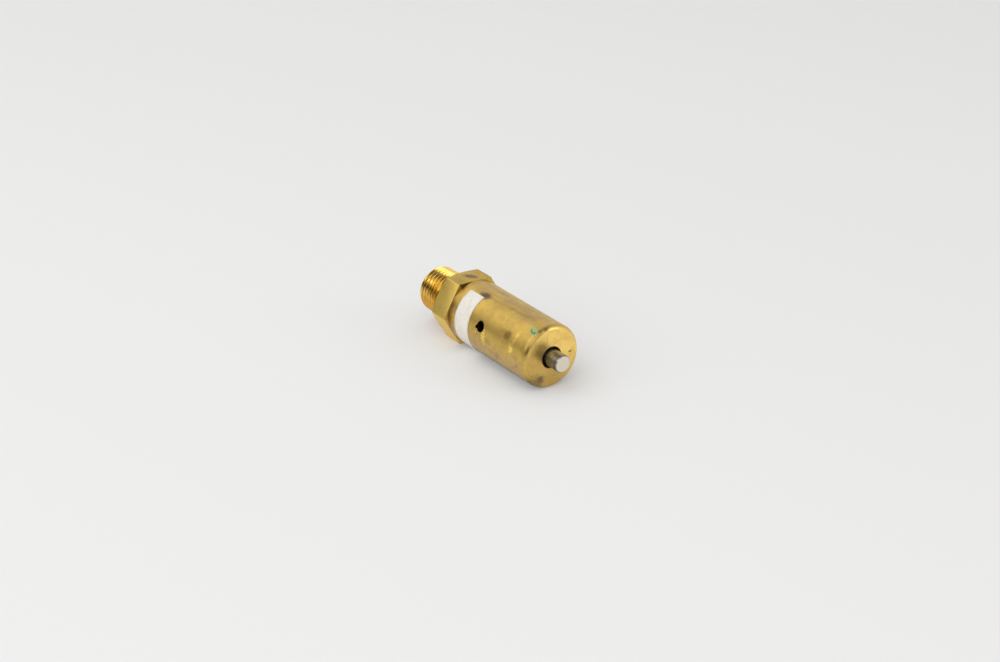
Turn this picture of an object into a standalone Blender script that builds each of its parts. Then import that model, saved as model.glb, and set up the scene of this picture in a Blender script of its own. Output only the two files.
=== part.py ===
"""A small brass spring safety valve, lying on its side as it would on a bench.

The valve's axis runs along +X, from the threaded inlet to the end of the spindle.
The origin is under the middle of the valve, on the surface that it lies on.
Places along the axis are stations: distances from the plane where the cage meets the hexagon,
positive towards the spindle's end. Round the axis, an elevation is an angle above the horizontal
on the -Y side.
"""
import math

import bmesh
import bpy
from mathutils import Matrix

MM = 0.001

# The hexagon across its flats and the cage across, which both touch the surface below
BAR_WIDTH = 18.4 * MM

# Hexagon
HEX_THICKNESS = 7.1 * MM
HEX_CHAMFER_INSET = 0.3 * MM
HEX_CHAMFER_ANGLE = math.radians(30)

# Male taper pipe thread, 18 turns to the inch
NIPPLE_LENGTH = 12.4 * MM
NIPPLE_END_DIAMETER = 13.2 * MM
PIPE_TAPER = 1 / 16
NIPPLE_CHAMFER = 0.9 * MM
THREAD_PITCH = 25.4 / 18 * MM
THREAD_ANGLE = math.radians(60)
THREAD_FLAT_SHARE = 1 / 6
THREAD_RUNOUT = 2.6 * MM
THREAD_START_ANGLE = math.radians(-90)
THREAD_WALL_SHARE = 0.4
THREAD_LEAD_IN_TURNS = 2
INLET_BORE = 7.2 * MM
INLET_CHAMFER = 0.5 * MM

# Nozzle and the chamber round it
NOZZLE_BORE = 5.2 * MM
NOZZLE_LENGTH = 5.8 * MM
NOZZLE_HEIGHT = 2.3 * MM
NOZZLE_LIP_WALL = 0.5 * MM
NOZZLE_ROOT_WALL = 1.2 * MM
BORE_CONE_ANGLE = math.radians(31)
CHAMBER_DEPTH = 1.5 * MM
CHAMBER_CHAMFER = 0.3 * MM

# Spigot that the cage is screwed on
SPIGOT_LENGTH = 7.5 * MM
SPIGOT_CHAMFER = 0.5 * MM
RELIEF_WIDTH = 1.0 * MM
RELIEF_DEPTH = 0.5 * MM

# Spring cage
CAGE_LENGTH = 36.6 * MM
CAGE_WALL = 1.8 * MM
CAGE_END_WALL = 2.2 * MM
CAGE_END_FILLET = 1.6 * MM
CAGE_BORE_FILLET = 0.8 * MM
CAGE_MOUTH_CHAMFER = 0.4 * MM
SPINDLE_HOLE_CHAMFER = 0.2 * MM
VENT_DIAMETER = 3.2 * MM
VENT_STATION = 14.9 * MM
VENT_ELEVATION = math.radians(20)
VENT_CHAMFER = 0.25 * MM

# Spindle
SPINDLE_DIAMETER = 5.0 * MM
SPINDLE_STICKOUT = 5.2 * MM
SPINDLE_TIP_CHAMFER = 0.35 * MM
STOP_SHOULDER = 0.7 * MM
STUD_DIAMETER = 2.0 * MM
STUD_PAST_NUT = 0.5 * MM
STUD_CHAMFER = 0.2 * MM
LIFT = 2.5 * MM

# Seat disc, its washer and its nut
DISC_OVERLAP = 0.7 * MM
DISC_THICKNESS = 1.5 * MM
DISC_WASHER_THICKNESS = 0.6 * MM
DISC_NUT_ACROSS_FLATS = 4.0 * MM
DISC_NUT_THICKNESS = 1.6 * MM

# Poppet
SKIRT_WALL = 0.4 * MM
RECESS_DEPTH = 1.0 * MM
WEB_THICKNESS = 1.0 * MM
GUIDE_STEP = 0.3 * MM
GUIDE_PROUD = 0.3 * MM
HUB_HEIGHT = 2.5 * MM
HUB_CHAMFER = 0.3 * MM
FLAT_RIM = 0.6 * MM
FLAT_TO_HUB = 0.4 * MM
FLAT_COUNT = 3

# Spring and what it bears on
SPRING_WIRE = 1.1 * MM
SPRING_END_TURNS = 1
SPRING_WORKING_TURNS = 9
SPRING_END_PITCH = 1.25 * MM
LOWER_SEAT_THICKNESS = 0.6 * MM
LOWER_SEAT_RIM = 0.1 * MM
BUSH_FLANGE_THICKNESS = 1.2 * MM
BUSH_SLEEVE_LENGTH = 6.0 * MM
BUSH_WALL = 0.6 * MM
SHIM_THICKNESS = 0.5 * MM
SHIM_COUNT = 2

# Label
LABEL_STATION = 3.3 * MM
LABEL_WIDTH = 6.5 * MM
LABEL_THICKNESS = 0.15 * MM
LABEL_TOP_ELEVATION = math.radians(67.5)
LABEL_WRAP = math.radians(135)

# Clearances
SEAT_GAP = 0.3 * MM
RUNNING_GAP = 0.3 * MM
SCREW_GAP = 0.3 * MM
SPRING_GAP = 0.3 * MM
SPINDLE_HOLE_GAP = 0.6 * MM
LABEL_GAP = 0.1 * MM

# Facets round a piece and along a fillet, and what a cutter runs past what it cuts
OUTER_FACETS = 48
INNER_FACETS = 32
HOLE_FACETS = 24
FILLET_FACETS = 5
CUT_MARGIN = 1.0 * MM
MERGE_DISTANCE = 0.005 * MM
SMOOTH_ANGLE = math.radians(30)

# Radii that follow from the sizes above
cage_radius = BAR_WIDTH / 2
cage_bore_radius = cage_radius - CAGE_WALL
spigot_radius = cage_bore_radius - SCREW_GAP
nipple_end_radius = NIPPLE_END_DIAMETER / 2
inlet_radius = INLET_BORE / 2
thread_flat = THREAD_PITCH * THREAD_FLAT_SHARE
thread_full_depth = (THREAD_PITCH / 2 - thread_flat) / math.tan(THREAD_ANGLE / 2)
thread_depth = min(thread_full_depth, (nipple_end_radius - inlet_radius) * THREAD_WALL_SHARE)
nozzle_bore_radius = NOZZLE_BORE / 2
nozzle_lip_radius = nozzle_bore_radius + NOZZLE_LIP_WALL
nozzle_root_radius = nozzle_bore_radius + NOZZLE_ROOT_WALL
stud_radius = STUD_DIAMETER / 2
stud_hole_radius = stud_radius + RUNNING_GAP
disc_radius = nozzle_lip_radius + DISC_OVERLAP
disc_washer_radius = nozzle_bore_radius - SEAT_GAP
recess_radius = disc_radius + SEAT_GAP
skirt_radius = recess_radius + SKIRT_WALL
poppet_radius = skirt_radius + GUIDE_STEP
chamber_radius = poppet_radius + RUNNING_GAP
spigot_wall = spigot_radius - chamber_radius
spindle_radius = SPINDLE_DIAMETER / 2
shank_radius = spindle_radius + STOP_SHOULDER
spindle_hole_radius = spindle_radius + SPINDLE_HOLE_GAP
bush_bore_radius = spindle_radius + RUNNING_GAP
sleeve_radius = bush_bore_radius + BUSH_WALL
hub_radius = sleeve_radius
spring_mean_radius = sleeve_radius + SPRING_GAP + SPRING_WIRE / 2
lower_seat_radius = spring_mean_radius + SPRING_WIRE / 2 + LOWER_SEAT_RIM
bush_flange_radius = cage_bore_radius - SEAT_GAP
shim_radius = cage_bore_radius - CAGE_BORE_FILLET - SEAT_GAP

# Stations from the inlet to the nozzle's lip
nipple_top = -HEX_THICKNESS
nipple_end = nipple_top - NIPPLE_LENGTH
chamber_floor = -CHAMBER_DEPTH
nozzle_lip = chamber_floor + NOZZLE_HEIGHT
nozzle_bottom = nozzle_lip - NOZZLE_LENGTH

# Stations of the moving pieces, with the disc on the nozzle
disc_bottom = nozzle_lip + SEAT_GAP
disc_top = disc_bottom + DISC_THICKNESS
disc_washer_top = disc_bottom - SEAT_GAP
disc_washer_bottom = disc_washer_top - DISC_WASHER_THICKNESS
disc_nut_top = disc_washer_bottom - SEAT_GAP
disc_nut_bottom = disc_nut_top - DISC_NUT_THICKNESS
recess_floor = disc_top + SEAT_GAP
skirt_bottom = recess_floor - RECESS_DEPTH
guide_bottom = recess_floor + WEB_THICKNESS
guide_top = SPIGOT_LENGTH + GUIDE_PROUD
hub_top = guide_top + HUB_HEIGHT
lower_seat_bottom = guide_top + SEAT_GAP
lower_seat_top = lower_seat_bottom + LOWER_SEAT_THICKNESS
spring_bottom = lower_seat_top + SEAT_GAP

# Stations from the cage's closed end down to the spindle's stop
cage_bore_end = CAGE_LENGTH - CAGE_END_WALL
shim_spacing = SHIM_THICKNESS + SEAT_GAP
bush_top = cage_bore_end - SEAT_GAP - SHIM_COUNT * shim_spacing
flange_bottom = bush_top - BUSH_FLANGE_THICKNESS
sleeve_bottom = flange_bottom - BUSH_SLEEVE_LENGTH
spring_top = flange_bottom - SEAT_GAP
shank_top = sleeve_bottom - SEAT_GAP - LIFT
spindle_end = CAGE_LENGTH + SPINDLE_STICKOUT

# Where the axis lies in the world
axis_height = BAR_WIDTH / 2
joint_plane_x = -(nipple_end + spindle_end) / 2


def clear_scene():
    """Removes every object of the scene."""
    for old in list(bpy.context.scene.objects):
        bpy.data.objects.remove(old)


def new_collection(name):
    """A collection linked to the scene."""
    collection = bpy.data.collections.new(name)
    bpy.context.scene.collection.children.link(collection)
    return collection


def new_axis(name, collection):
    """An empty on the valve's axis, whose Z runs along the axis and whose X points down."""
    axis = bpy.data.objects.new(name, None)
    axis.empty_display_size = cage_radius
    axis.location = (joint_plane_x, 0.0, axis_height)
    axis.rotation_euler = (0.0, math.radians(90), 0.0)
    collection.objects.link(axis)
    return axis


def angle_of(elevation):
    """The angle about the axis empty's Z of a place at this elevation."""
    return -(math.radians(90) + elevation)


def placed(piece, axis, collection):
    """Links a piece and hangs it on the axis empty."""
    collection.objects.link(piece)
    piece.parent = axis
    return piece


def fillet(radius, station, size, start, end):
    """Points of a fillet about (radius, station), in degrees: 0 points outwards, 90 to the top."""
    points = []
    for step in range(FILLET_FACETS + 1):
        angle = math.radians(start + (end - start) * step / FILLET_FACETS)
        points.append((radius + size * math.cos(angle), station + size * math.sin(angle)))
    return points


def turned(name, outline, ring, facets):
    """A shape turned about the axis, from (radius, station) points down its outer side.

    A ring's outline is closed. Any other outline starts and ends on the axis.
    """
    mesh = bpy.data.meshes.new(name)
    corners = [(radius, 0.0, station) for radius, station in outline]
    edges = [(index, index + 1) for index in range(len(corners) - 1)]
    if ring:
        edges.append((len(corners) - 1, 0))
    mesh.from_pydata(corners, edges, [])
    piece = bpy.data.objects.new(name, mesh)
    bpy.context.scene.collection.objects.link(piece)
    screw = piece.modifiers.new("Turned", "SCREW")
    screw.axis = "Z"
    screw.steps = facets
    screw.render_steps = facets
    screw.use_merge_vertices = True
    screw.merge_threshold = MERGE_DISTANCE
    depsgraph = bpy.context.evaluated_depsgraph_get()
    piece.data = bpy.data.meshes.new_from_object(piece.evaluated_get(depsgraph))
    piece.modifiers.clear()
    piece.data.shade_smooth()
    piece.data.set_sharp_from_angle(angle=SMOOTH_ANGLE)
    bpy.context.scene.collection.objects.unlink(piece)
    bpy.data.meshes.remove(mesh)
    return piece


def hexagon(name, across_flats, bottom, top):
    """A hexagon bar on the axis, with corners on both sides and a flat facing down."""
    mesh = bpy.data.meshes.new(name)
    shape = bmesh.new()
    corner_radius = across_flats / 2 / math.cos(math.radians(30))
    bmesh.ops.create_cone(
        shape, cap_ends=True, segments=6, radius1=corner_radius, radius2=corner_radius,
        depth=top - bottom, matrix=Matrix.Translation((0.0, 0.0, (bottom + top) / 2)))
    shape.to_mesh(mesh)
    shape.free()
    return bpy.data.objects.new(name, mesh)


def cutter(piece, axis, collection):
    """Makes a piece a cutter: it hangs on the axis and isn't rendered."""
    placed(piece, axis, collection)
    piece.hide_render = True
    piece.display_type = "WIRE"
    return piece


def combine(piece, other, operation):
    """Adds a Boolean of the piece with another object."""
    step = piece.modifiers.new(other.name, "BOOLEAN")
    step.operation = operation
    step.object = other


def give_material(piece, colour, metallic, roughness):
    """Gives a piece its own material, with a linear RGB colour."""
    material = bpy.data.materials.new(piece.name)
    material.use_nodes = True
    surface = material.node_tree.nodes["Principled BSDF"]
    surface.inputs["Base Color"].default_value = (*colour, 1.0)
    surface.inputs["Metallic"].default_value = metallic
    surface.inputs["Roughness"].default_value = roughness
    piece.data.materials.clear()
    piece.data.materials.append(material)


def brass(piece):
    """Aged, satin brass."""
    give_material(piece, (0.49, 0.32, 0.08), 1.0, 0.4)


def steel(piece):
    """Bright drawn steel."""
    give_material(piece, (0.42, 0.41, 0.39), 1.0, 0.35)


def make_valve_body(axis, parts, cutters):
    """Hexagon, pipe nipple, spigot and nozzle, turned from one bar."""
    spigot_root = spigot_radius - min(RELIEF_DEPTH, spigot_wall / 2)
    spigot_chamfer = min(SPIGOT_CHAMFER, spigot_wall / 2)
    core = turned("valve_body", [
        (0.0, SPIGOT_LENGTH),
        (spigot_radius - spigot_chamfer, SPIGOT_LENGTH),
        (spigot_radius, SPIGOT_LENGTH - spigot_chamfer),
        (spigot_radius, RELIEF_WIDTH),
        (spigot_root, RELIEF_WIDTH),
        (spigot_root, nipple_top / 2),
        (0.0, nipple_top / 2),
    ], False, OUTER_FACETS)
    placed(core, axis, parts)

    bar = cutter(hexagon("hexagon_bar", BAR_WIDTH, nipple_top, 0.0), axis, cutters)
    combine(bar, cutter(hex_chamfer_shape(), axis, cutters), "INTERSECT")
    combine(core, bar, "UNION")
    combine(core, cutter(threaded_nipple(), axis, cutters), "UNION")
    combine(core, cutter(bore_shape(), axis, cutters), "DIFFERENCE")
    brass(core)
    return core


def thread_point(travel, cut, angle):
    """A point of the nipple's surface, this far from its end, with the thread cut by a share."""
    left = min(max((NIPPLE_LENGTH - travel) / THREAD_RUNOUT, 0.0), 1.0)
    threaded = nipple_end_radius + travel * PIPE_TAPER / 2 - thread_depth * cut * left
    radius = min(threaded, nipple_end_radius - NIPPLE_CHAMFER + travel)
    return (radius * math.cos(angle), radius * math.sin(angle), nipple_end + travel)


def threaded_nipple():
    """The nipple: a strip for each corner of the thread's profile, wound up the cone.

    The turns before its start and past its end are pressed flat on its two ends, and welded away.
    """
    half_flat = thread_flat / 2
    middle = THREAD_PITCH / 2
    profile = [
        (half_flat, 0.0),
        (middle - half_flat, 1.0),
        (middle + half_flat, 1.0),
        (THREAD_PITCH - half_flat, 0.0),
    ]
    whole = NIPPLE_LENGTH + HEX_THICKNESS / 4
    turns = math.ceil(whole / THREAD_PITCH) + 1
    shape = bmesh.new()
    rows = []
    for turn in range(-THREAD_LEAD_IN_TURNS, turns):
        for place, cut in profile:
            row = []
            for step in range(OUTER_FACETS + 1):
                part = step / OUTER_FACETS
                travel = (turn + part) * THREAD_PITCH + place
                angle = THREAD_START_ANGLE + math.radians(360) * part
                travel = min(max(travel, 0.0), whole)
                row.append(shape.verts.new(thread_point(travel, cut, angle)))
            rows.append(row)
    for near, far in zip(rows, rows[1:]):
        for step in range(OUTER_FACETS):
            shape.faces.new((near[step], near[step + 1], far[step + 1], far[step]))
    bmesh.ops.remove_doubles(shape, verts=shape.verts, dist=MERGE_DISTANCE)
    ends = [edge for edge in shape.edges if edge.is_boundary]
    bmesh.ops.holes_fill(shape, edges=ends, sides=0)
    bmesh.ops.recalc_face_normals(shape, faces=shape.faces)
    mesh = bpy.data.meshes.new("threaded_nipple")
    shape.to_mesh(mesh)
    shape.free()
    mesh.shade_smooth()
    mesh.set_sharp_from_angle(angle=SMOOTH_ANGLE)
    return bpy.data.objects.new("threaded_nipple", mesh)


def hex_chamfer_shape():
    """The turned shape that leaves a hexagon with its corners chamfered on the thread side."""
    chamfer_circle = BAR_WIDTH / 2 - HEX_CHAMFER_INSET
    wide = BAR_WIDTH
    rise = (wide - chamfer_circle) * math.tan(HEX_CHAMFER_ANGLE)
    return turned("hexagon_chamfer", [
        (0.0, nipple_top + rise + CUT_MARGIN),
        (wide, nipple_top + rise + CUT_MARGIN),
        (wide, nipple_top + rise),
        (chamfer_circle, nipple_top),
        (chamfer_circle, nipple_top - CUT_MARGIN),
        (0.0, nipple_top - CUT_MARGIN),
    ], False, OUTER_FACETS)


def bore_shape():
    """Everything that is bored out of the body: chamber, nozzle bore and inlet."""
    cone_length = (inlet_radius - nozzle_bore_radius) / math.tan(BORE_CONE_ANGLE)
    chamber_chamfer = min(CHAMBER_CHAMFER, spigot_wall / 4)
    return turned("body_bores", [
        (0.0, SPIGOT_LENGTH + CUT_MARGIN),
        (chamber_radius + chamber_chamfer + CUT_MARGIN, SPIGOT_LENGTH + CUT_MARGIN),
        (chamber_radius, SPIGOT_LENGTH - chamber_chamfer),
        (chamber_radius, chamber_floor),
        (nozzle_root_radius, chamber_floor),
        (nozzle_lip_radius, nozzle_lip),
        (nozzle_bore_radius, nozzle_lip),
        (nozzle_bore_radius, nozzle_bottom),
        (inlet_radius, nozzle_bottom - cone_length),
        (inlet_radius, nipple_end + INLET_CHAMFER),
        (inlet_radius + INLET_CHAMFER + CUT_MARGIN, nipple_end - CUT_MARGIN),
        (0.0, nipple_end - CUT_MARGIN),
    ], False, OUTER_FACETS)


def make_spring_cage(axis, parts, cutters):
    """The turned cup, drilled for the spindle and straight across for the two vents."""
    mouth = SEAT_GAP
    shoulder = cage_radius - CAGE_END_FILLET
    outline = [(spindle_hole_radius + SPINDLE_HOLE_CHAMFER, CAGE_LENGTH)]
    outline += fillet(shoulder, CAGE_LENGTH - CAGE_END_FILLET, CAGE_END_FILLET, 90, 0)
    outline += [
        (cage_radius, mouth + CAGE_MOUTH_CHAMFER),
        (cage_radius - CAGE_MOUTH_CHAMFER, mouth),
        (cage_bore_radius, mouth),
    ]
    outline += fillet(
        cage_bore_radius - CAGE_BORE_FILLET, cage_bore_end - CAGE_BORE_FILLET, CAGE_BORE_FILLET, 0, 90)
    outline += [
        (spindle_hole_radius, cage_bore_end),
        (spindle_hole_radius, CAGE_LENGTH - SPINDLE_HOLE_CHAMFER),
    ]
    cage = placed(turned("spring_cage", outline, True, OUTER_FACETS), axis, parts)
    combine(cage, cutter(vent_drill(), axis, cutters), "DIFFERENCE")
    brass(cage)
    return cage


def vent_drill():
    """One drill that passes through both walls of the cage and breaks their outer edges."""
    drill_radius = VENT_DIAMETER / 2
    inner_reach = cage_radius - VENT_CHAMFER
    outer_reach = cage_radius + CUT_MARGIN
    flare_radius = drill_radius + outer_reach - inner_reach
    drill = turned("vent_drill", [
        (0.0, outer_reach),
        (flare_radius, outer_reach),
        (drill_radius, inner_reach),
        (drill_radius, -inner_reach),
        (flare_radius, -outer_reach),
        (0.0, -outer_reach),
    ], False, HOLE_FACETS)
    drill.location = (0.0, 0.0, VENT_STATION)
    drill.rotation_euler = (0.0, math.radians(90), angle_of(VENT_ELEVATION))
    return drill


def make_spindle(axis, parts):
    """Stepped steel stem: the end that shows, the thicker shank that stops, and the stud below."""
    stud_end = disc_nut_bottom - STUD_PAST_NUT
    spindle = turned("spindle", [
        (0.0, spindle_end),
        (spindle_radius - SPINDLE_TIP_CHAMFER, spindle_end),
        (spindle_radius, spindle_end - SPINDLE_TIP_CHAMFER),
        (spindle_radius, shank_top),
        (shank_radius, shank_top),
        (shank_radius, hub_top + SEAT_GAP),
        (stud_radius, hub_top + SEAT_GAP),
        (stud_radius, stud_end + STUD_CHAMFER),
        (stud_radius - STUD_CHAMFER, stud_end),
        (0.0, stud_end),
    ], False, INNER_FACETS)
    placed(spindle, axis, parts)
    steel(spindle)
    return spindle


def make_washer(name, inner, outer, bottom, top, axis, parts):
    """A flat ring."""
    outline = [(outer, top), (outer, bottom), (inner, bottom), (inner, top)]
    return placed(turned(name, outline, True, INNER_FACETS), axis, parts)


def make_seat_disc(axis, parts):
    """Soft disc that closes the nozzle."""
    disc = make_washer("seat_disc", stud_hole_radius, disc_radius, disc_bottom, disc_top, axis, parts)
    give_material(disc, (0.03, 0.03, 0.03), 0.0, 0.7)
    return disc


def make_disc_washer(axis, parts):
    """Clamps the disc from below, inside the nozzle's bore."""
    washer = make_washer(
        "disc_washer", stud_hole_radius, disc_washer_radius, disc_washer_bottom, disc_washer_top,
        axis, parts)
    brass(washer)
    return washer


def make_disc_nut(axis, parts, cutters):
    """Hexagon nut on the spindle's stud."""
    nut = hexagon("disc_nut", DISC_NUT_ACROSS_FLATS, disc_nut_bottom, disc_nut_top)
    placed(nut, axis, parts)
    hole = turned("disc_nut_hole", [
        (0.0, disc_nut_top + CUT_MARGIN),
        (stud_hole_radius, disc_nut_top + CUT_MARGIN),
        (stud_hole_radius, disc_nut_bottom - CUT_MARGIN),
        (0.0, disc_nut_bottom - CUT_MARGIN),
    ], False, HOLE_FACETS)
    combine(nut, cutter(hole, axis, cutters), "DIFFERENCE")
    brass(nut)
    return nut


def make_poppet(axis, parts, cutters):
    """Disc holder: skirt round the disc, guide with flats for the air, and hub for the spring."""
    poppet = turned("poppet", [
        (hub_radius - HUB_CHAMFER, hub_top),
        (hub_radius, hub_top - HUB_CHAMFER),
        (hub_radius, guide_top),
        (poppet_radius, guide_top),
        (poppet_radius, guide_bottom),
        (skirt_radius, guide_bottom),
        (skirt_radius, skirt_bottom),
        (recess_radius, skirt_bottom),
        (recess_radius, recess_floor),
        (stud_hole_radius, recess_floor),
        (stud_hole_radius, hub_top),
    ], True, INNER_FACETS)
    placed(poppet, axis, parts)
    for number in range(FLAT_COUNT):
        turn = math.radians(360) * number / FLAT_COUNT
        combine(poppet, cutter(flat_shape(number, turn), axis, cutters), "DIFFERENCE")
    brass(poppet)
    return poppet


def flat_shape(number, turn):
    """A block that mills one flat on the poppet's guide, above a rim."""
    name = f"poppet_flat_{number + 1}"
    mesh = bpy.data.meshes.new(name)
    shape = bmesh.new()
    near = hub_radius + FLAT_TO_HUB
    far = poppet_radius + CUT_MARGIN
    bottom = guide_bottom + FLAT_RIM
    top = guide_top + CUT_MARGIN
    place = Matrix.Translation(((near + far) / 2, 0.0, (bottom + top) / 2))
    size = Matrix.Diagonal((far - near, 2 * poppet_radius, top - bottom, 1.0))
    bmesh.ops.create_cube(shape, size=1.0, matrix=Matrix.Rotation(turn, 4, "Z") @ place @ size)
    shape.to_mesh(mesh)
    shape.free()
    return bpy.data.objects.new(name, mesh)


def make_lower_spring_seat(axis, parts):
    """Steel washer that the spring stands on."""
    seat = make_washer(
        "lower_spring_seat", hub_radius + RUNNING_GAP, lower_seat_radius, lower_seat_bottom,
        lower_seat_top, axis, parts)
    steel(seat)
    return seat


def coil_rise(turn):
    """How far the wire has risen after this many turns, in end pitches and working pitches."""
    working_end = SPRING_END_TURNS + SPRING_WORKING_TURNS
    ends = min(turn, SPRING_END_TURNS) + max(turn - working_end, 0)
    working = min(max(turn - SPRING_END_TURNS, 0), SPRING_WORKING_TURNS)
    return ends, working


def make_valve_spring(axis, parts, cutters):
    """Coil spring between the two seats, with its end turns closed and ground flat."""
    points_per_turn = 14
    turns = 2 * SPRING_END_TURNS + SPRING_WORKING_TURNS
    end_rise = 2 * SPRING_END_TURNS * SPRING_END_PITCH
    working_pitch = (spring_top - spring_bottom - end_rise) / SPRING_WORKING_TURNS

    curve = bpy.data.curves.new("spring_wire", "CURVE")
    curve.dimensions = "3D"
    curve.bevel_depth = SPRING_WIRE / 2
    curve.bevel_resolution = 2
    curve.use_fill_caps = True
    curve.render_resolution_u = 0
    wire = curve.splines.new("POLY")
    count = turns * points_per_turn + 1
    wire.points.add(count - 1)
    for index in range(count):
        turn = index / points_per_turn
        angle = math.radians(360) * turn
        ends, working = coil_rise(turn)
        station = spring_bottom + ends * SPRING_END_PITCH + working * working_pitch
        x = spring_mean_radius * math.cos(angle)
        y = spring_mean_radius * math.sin(angle)
        wire.points[index].co = (x, y, station, 1.0)
    spring = placed(solid_wire("valve_spring", curve), axis, parts)
    combine(spring, cutter(grinding_shape(), axis, cutters), "INTERSECT")
    steel(spring)
    return spring


def solid_wire(name, curve):
    """A closed mesh of a bevelled curve, with its end caps welded on."""
    bare = bpy.data.objects.new(name, curve)
    bpy.context.scene.collection.objects.link(bare)
    depsgraph = bpy.context.evaluated_depsgraph_get()
    mesh = bpy.data.meshes.new_from_object(bare.evaluated_get(depsgraph))
    place = bare.matrix_world.copy()
    bpy.data.objects.remove(bare)
    shape = bmesh.new()
    shape.from_mesh(mesh)
    bmesh.ops.remove_doubles(shape, verts=shape.verts, dist=MERGE_DISTANCE)
    shape.to_mesh(mesh)
    shape.free()
    mesh.shade_smooth()
    mesh.set_sharp_from_angle(angle=SMOOTH_ANGLE * 2)
    solid = bpy.data.objects.new(name, mesh)
    solid.matrix_world = place
    return solid


def grinding_shape():
    """The space between the spring's two ground ends."""
    reach = lower_seat_radius + CUT_MARGIN
    return turned("spring_grinding", [
        (0.0, spring_top), (reach, spring_top), (reach, spring_bottom), (0.0, spring_bottom),
    ], False, OUTER_FACETS)


def make_upper_spring_guide(axis, parts):
    """Flanged bush: it holds the spring, guides the spindle and stops its shank."""
    bush = turned("upper_spring_guide", [
        (bush_flange_radius, bush_top),
        (bush_flange_radius, flange_bottom),
        (sleeve_radius, flange_bottom),
        (sleeve_radius, sleeve_bottom),
        (bush_bore_radius, sleeve_bottom),
        (bush_bore_radius, bush_top),
    ], True, INNER_FACETS)
    placed(bush, axis, parts)
    brass(bush)
    return bush


def make_set_shims(axis, parts):
    """Thin washers under the cage's closed end that trim the spring's load."""
    for number in range(SHIM_COUNT):
        top = cage_bore_end - SEAT_GAP - number * shim_spacing
        shim = make_washer(
            f"set_shim_{number + 1}", spindle_hole_radius, shim_radius, top - SHIM_THICKNESS, top,
            axis, parts)
        steel(shim)


def make_rating_label(axis, parts):
    """Bare label bent round the cage, in step with the cage's facets."""
    mesh = bpy.data.meshes.new("rating_label")
    shape = bmesh.new()
    facets = round(OUTER_FACETS * LABEL_WRAP / math.radians(360))
    bmesh.ops.create_grid(shape, x_segments=facets, y_segments=1, size=0.5)
    radius = cage_radius + LABEL_GAP
    for corner in shape.verts:
        elevation = LABEL_TOP_ELEVATION - (corner.co.x + 0.5) * LABEL_WRAP
        station = LABEL_STATION + (corner.co.y + 0.5) * LABEL_WIDTH
        angle = angle_of(elevation)
        corner.co = (radius * math.cos(angle), radius * math.sin(angle), station)
    shape.to_mesh(mesh)
    shape.free()
    mesh.shade_smooth()
    label = placed(bpy.data.objects.new("rating_label", mesh), axis, parts)
    paper = label.modifiers.new("Paper", "SOLIDIFY")
    paper.thickness = LABEL_THICKNESS
    paper.offset = 1.0
    give_material(label, (0.78, 0.77, 0.74), 0.0, 0.6)
    return label


def build():
    """Builds the whole valve."""
    clear_scene()
    parts = new_collection("spring_safety_valve")
    cutters = new_collection("spring_safety_valve_cutters")
    axis = new_axis("valve_axis", parts)
    make_valve_body(axis, parts, cutters)
    make_spring_cage(axis, parts, cutters)
    make_rating_label(axis, parts)
    make_seat_disc(axis, parts)
    make_disc_washer(axis, parts)
    make_disc_nut(axis, parts, cutters)
    make_poppet(axis, parts, cutters)
    make_lower_spring_seat(axis, parts)
    make_valve_spring(axis, parts, cutters)
    make_upper_spring_guide(axis, parts)
    make_set_shims(axis, parts)
    make_spindle(axis, parts)


build()
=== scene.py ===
# %% [markdown]
# # A small brass spring safety valve
#
# This lesson dresses a valve that was first drawn as plain solids. The solids stay where they are
# and give every size and place. Each one gets a finer piece on top, with the marks that the lathe,
# the die, the drill and some years on a compressor leave on it.
#
# Lengths are in millimetres where a name or a comment doesn't say otherwise, and `MM` turns them
# to the metres that Blender works in.

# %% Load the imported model
import math

import bmesh
import bpy
from mathutils import Matrix, Vector


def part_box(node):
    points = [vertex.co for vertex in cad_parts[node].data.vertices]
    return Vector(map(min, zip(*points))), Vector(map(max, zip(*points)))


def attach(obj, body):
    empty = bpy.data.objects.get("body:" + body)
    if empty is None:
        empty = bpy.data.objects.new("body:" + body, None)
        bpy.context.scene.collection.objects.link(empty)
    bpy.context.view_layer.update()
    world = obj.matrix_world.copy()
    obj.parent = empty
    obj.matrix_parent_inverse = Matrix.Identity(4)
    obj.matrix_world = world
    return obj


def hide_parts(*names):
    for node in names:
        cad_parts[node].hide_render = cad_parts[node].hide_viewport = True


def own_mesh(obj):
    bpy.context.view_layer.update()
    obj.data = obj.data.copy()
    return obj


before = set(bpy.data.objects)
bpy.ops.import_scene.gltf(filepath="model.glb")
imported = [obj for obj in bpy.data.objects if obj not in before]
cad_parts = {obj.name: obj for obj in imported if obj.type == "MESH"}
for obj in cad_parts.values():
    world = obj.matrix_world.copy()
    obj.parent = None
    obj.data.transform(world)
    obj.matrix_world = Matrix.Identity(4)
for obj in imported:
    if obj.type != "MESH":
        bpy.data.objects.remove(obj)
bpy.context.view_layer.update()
print("solids:", sorted(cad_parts))

# %% [markdown]
# ## A ruler along the valve
#
# A turned part is easiest to think of as the lathe sees it. A *station* is a distance along the
# axis, from the plane where the cage meets the hexagon, positive towards the spindle. A *radius* is
# the distance from the axis, and an *elevation* is the angle above the horizontal on the side that
# faces the camera. One function turns the three into a place in the scene, so every later number
# can be read off a drawing.

# %% Sizes read from the solids
MM = 0.001
CAGE_RADIUS = 9.2
CAGE_LENGTH = 36.6

_, cage_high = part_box("spring_cage")
body_low, body_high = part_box("valve_body")
joint_x = cage_high.x - CAGE_LENGTH * MM
axis_z = (body_low.z + body_high.z) / 2
print("joint plane at x", round(joint_x / MM, 3), "mm, axis", round(axis_z / MM, 3), "mm up")


def at(station, radius, elevation=0.0):
    """The place in the scene, in metres, of a station, a radius and an elevation in degrees."""
    angle = math.radians(elevation)
    return Vector((
        joint_x + station * MM,
        -radius * MM * math.cos(angle),
        axis_z + radius * MM * math.sin(angle)))


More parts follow.
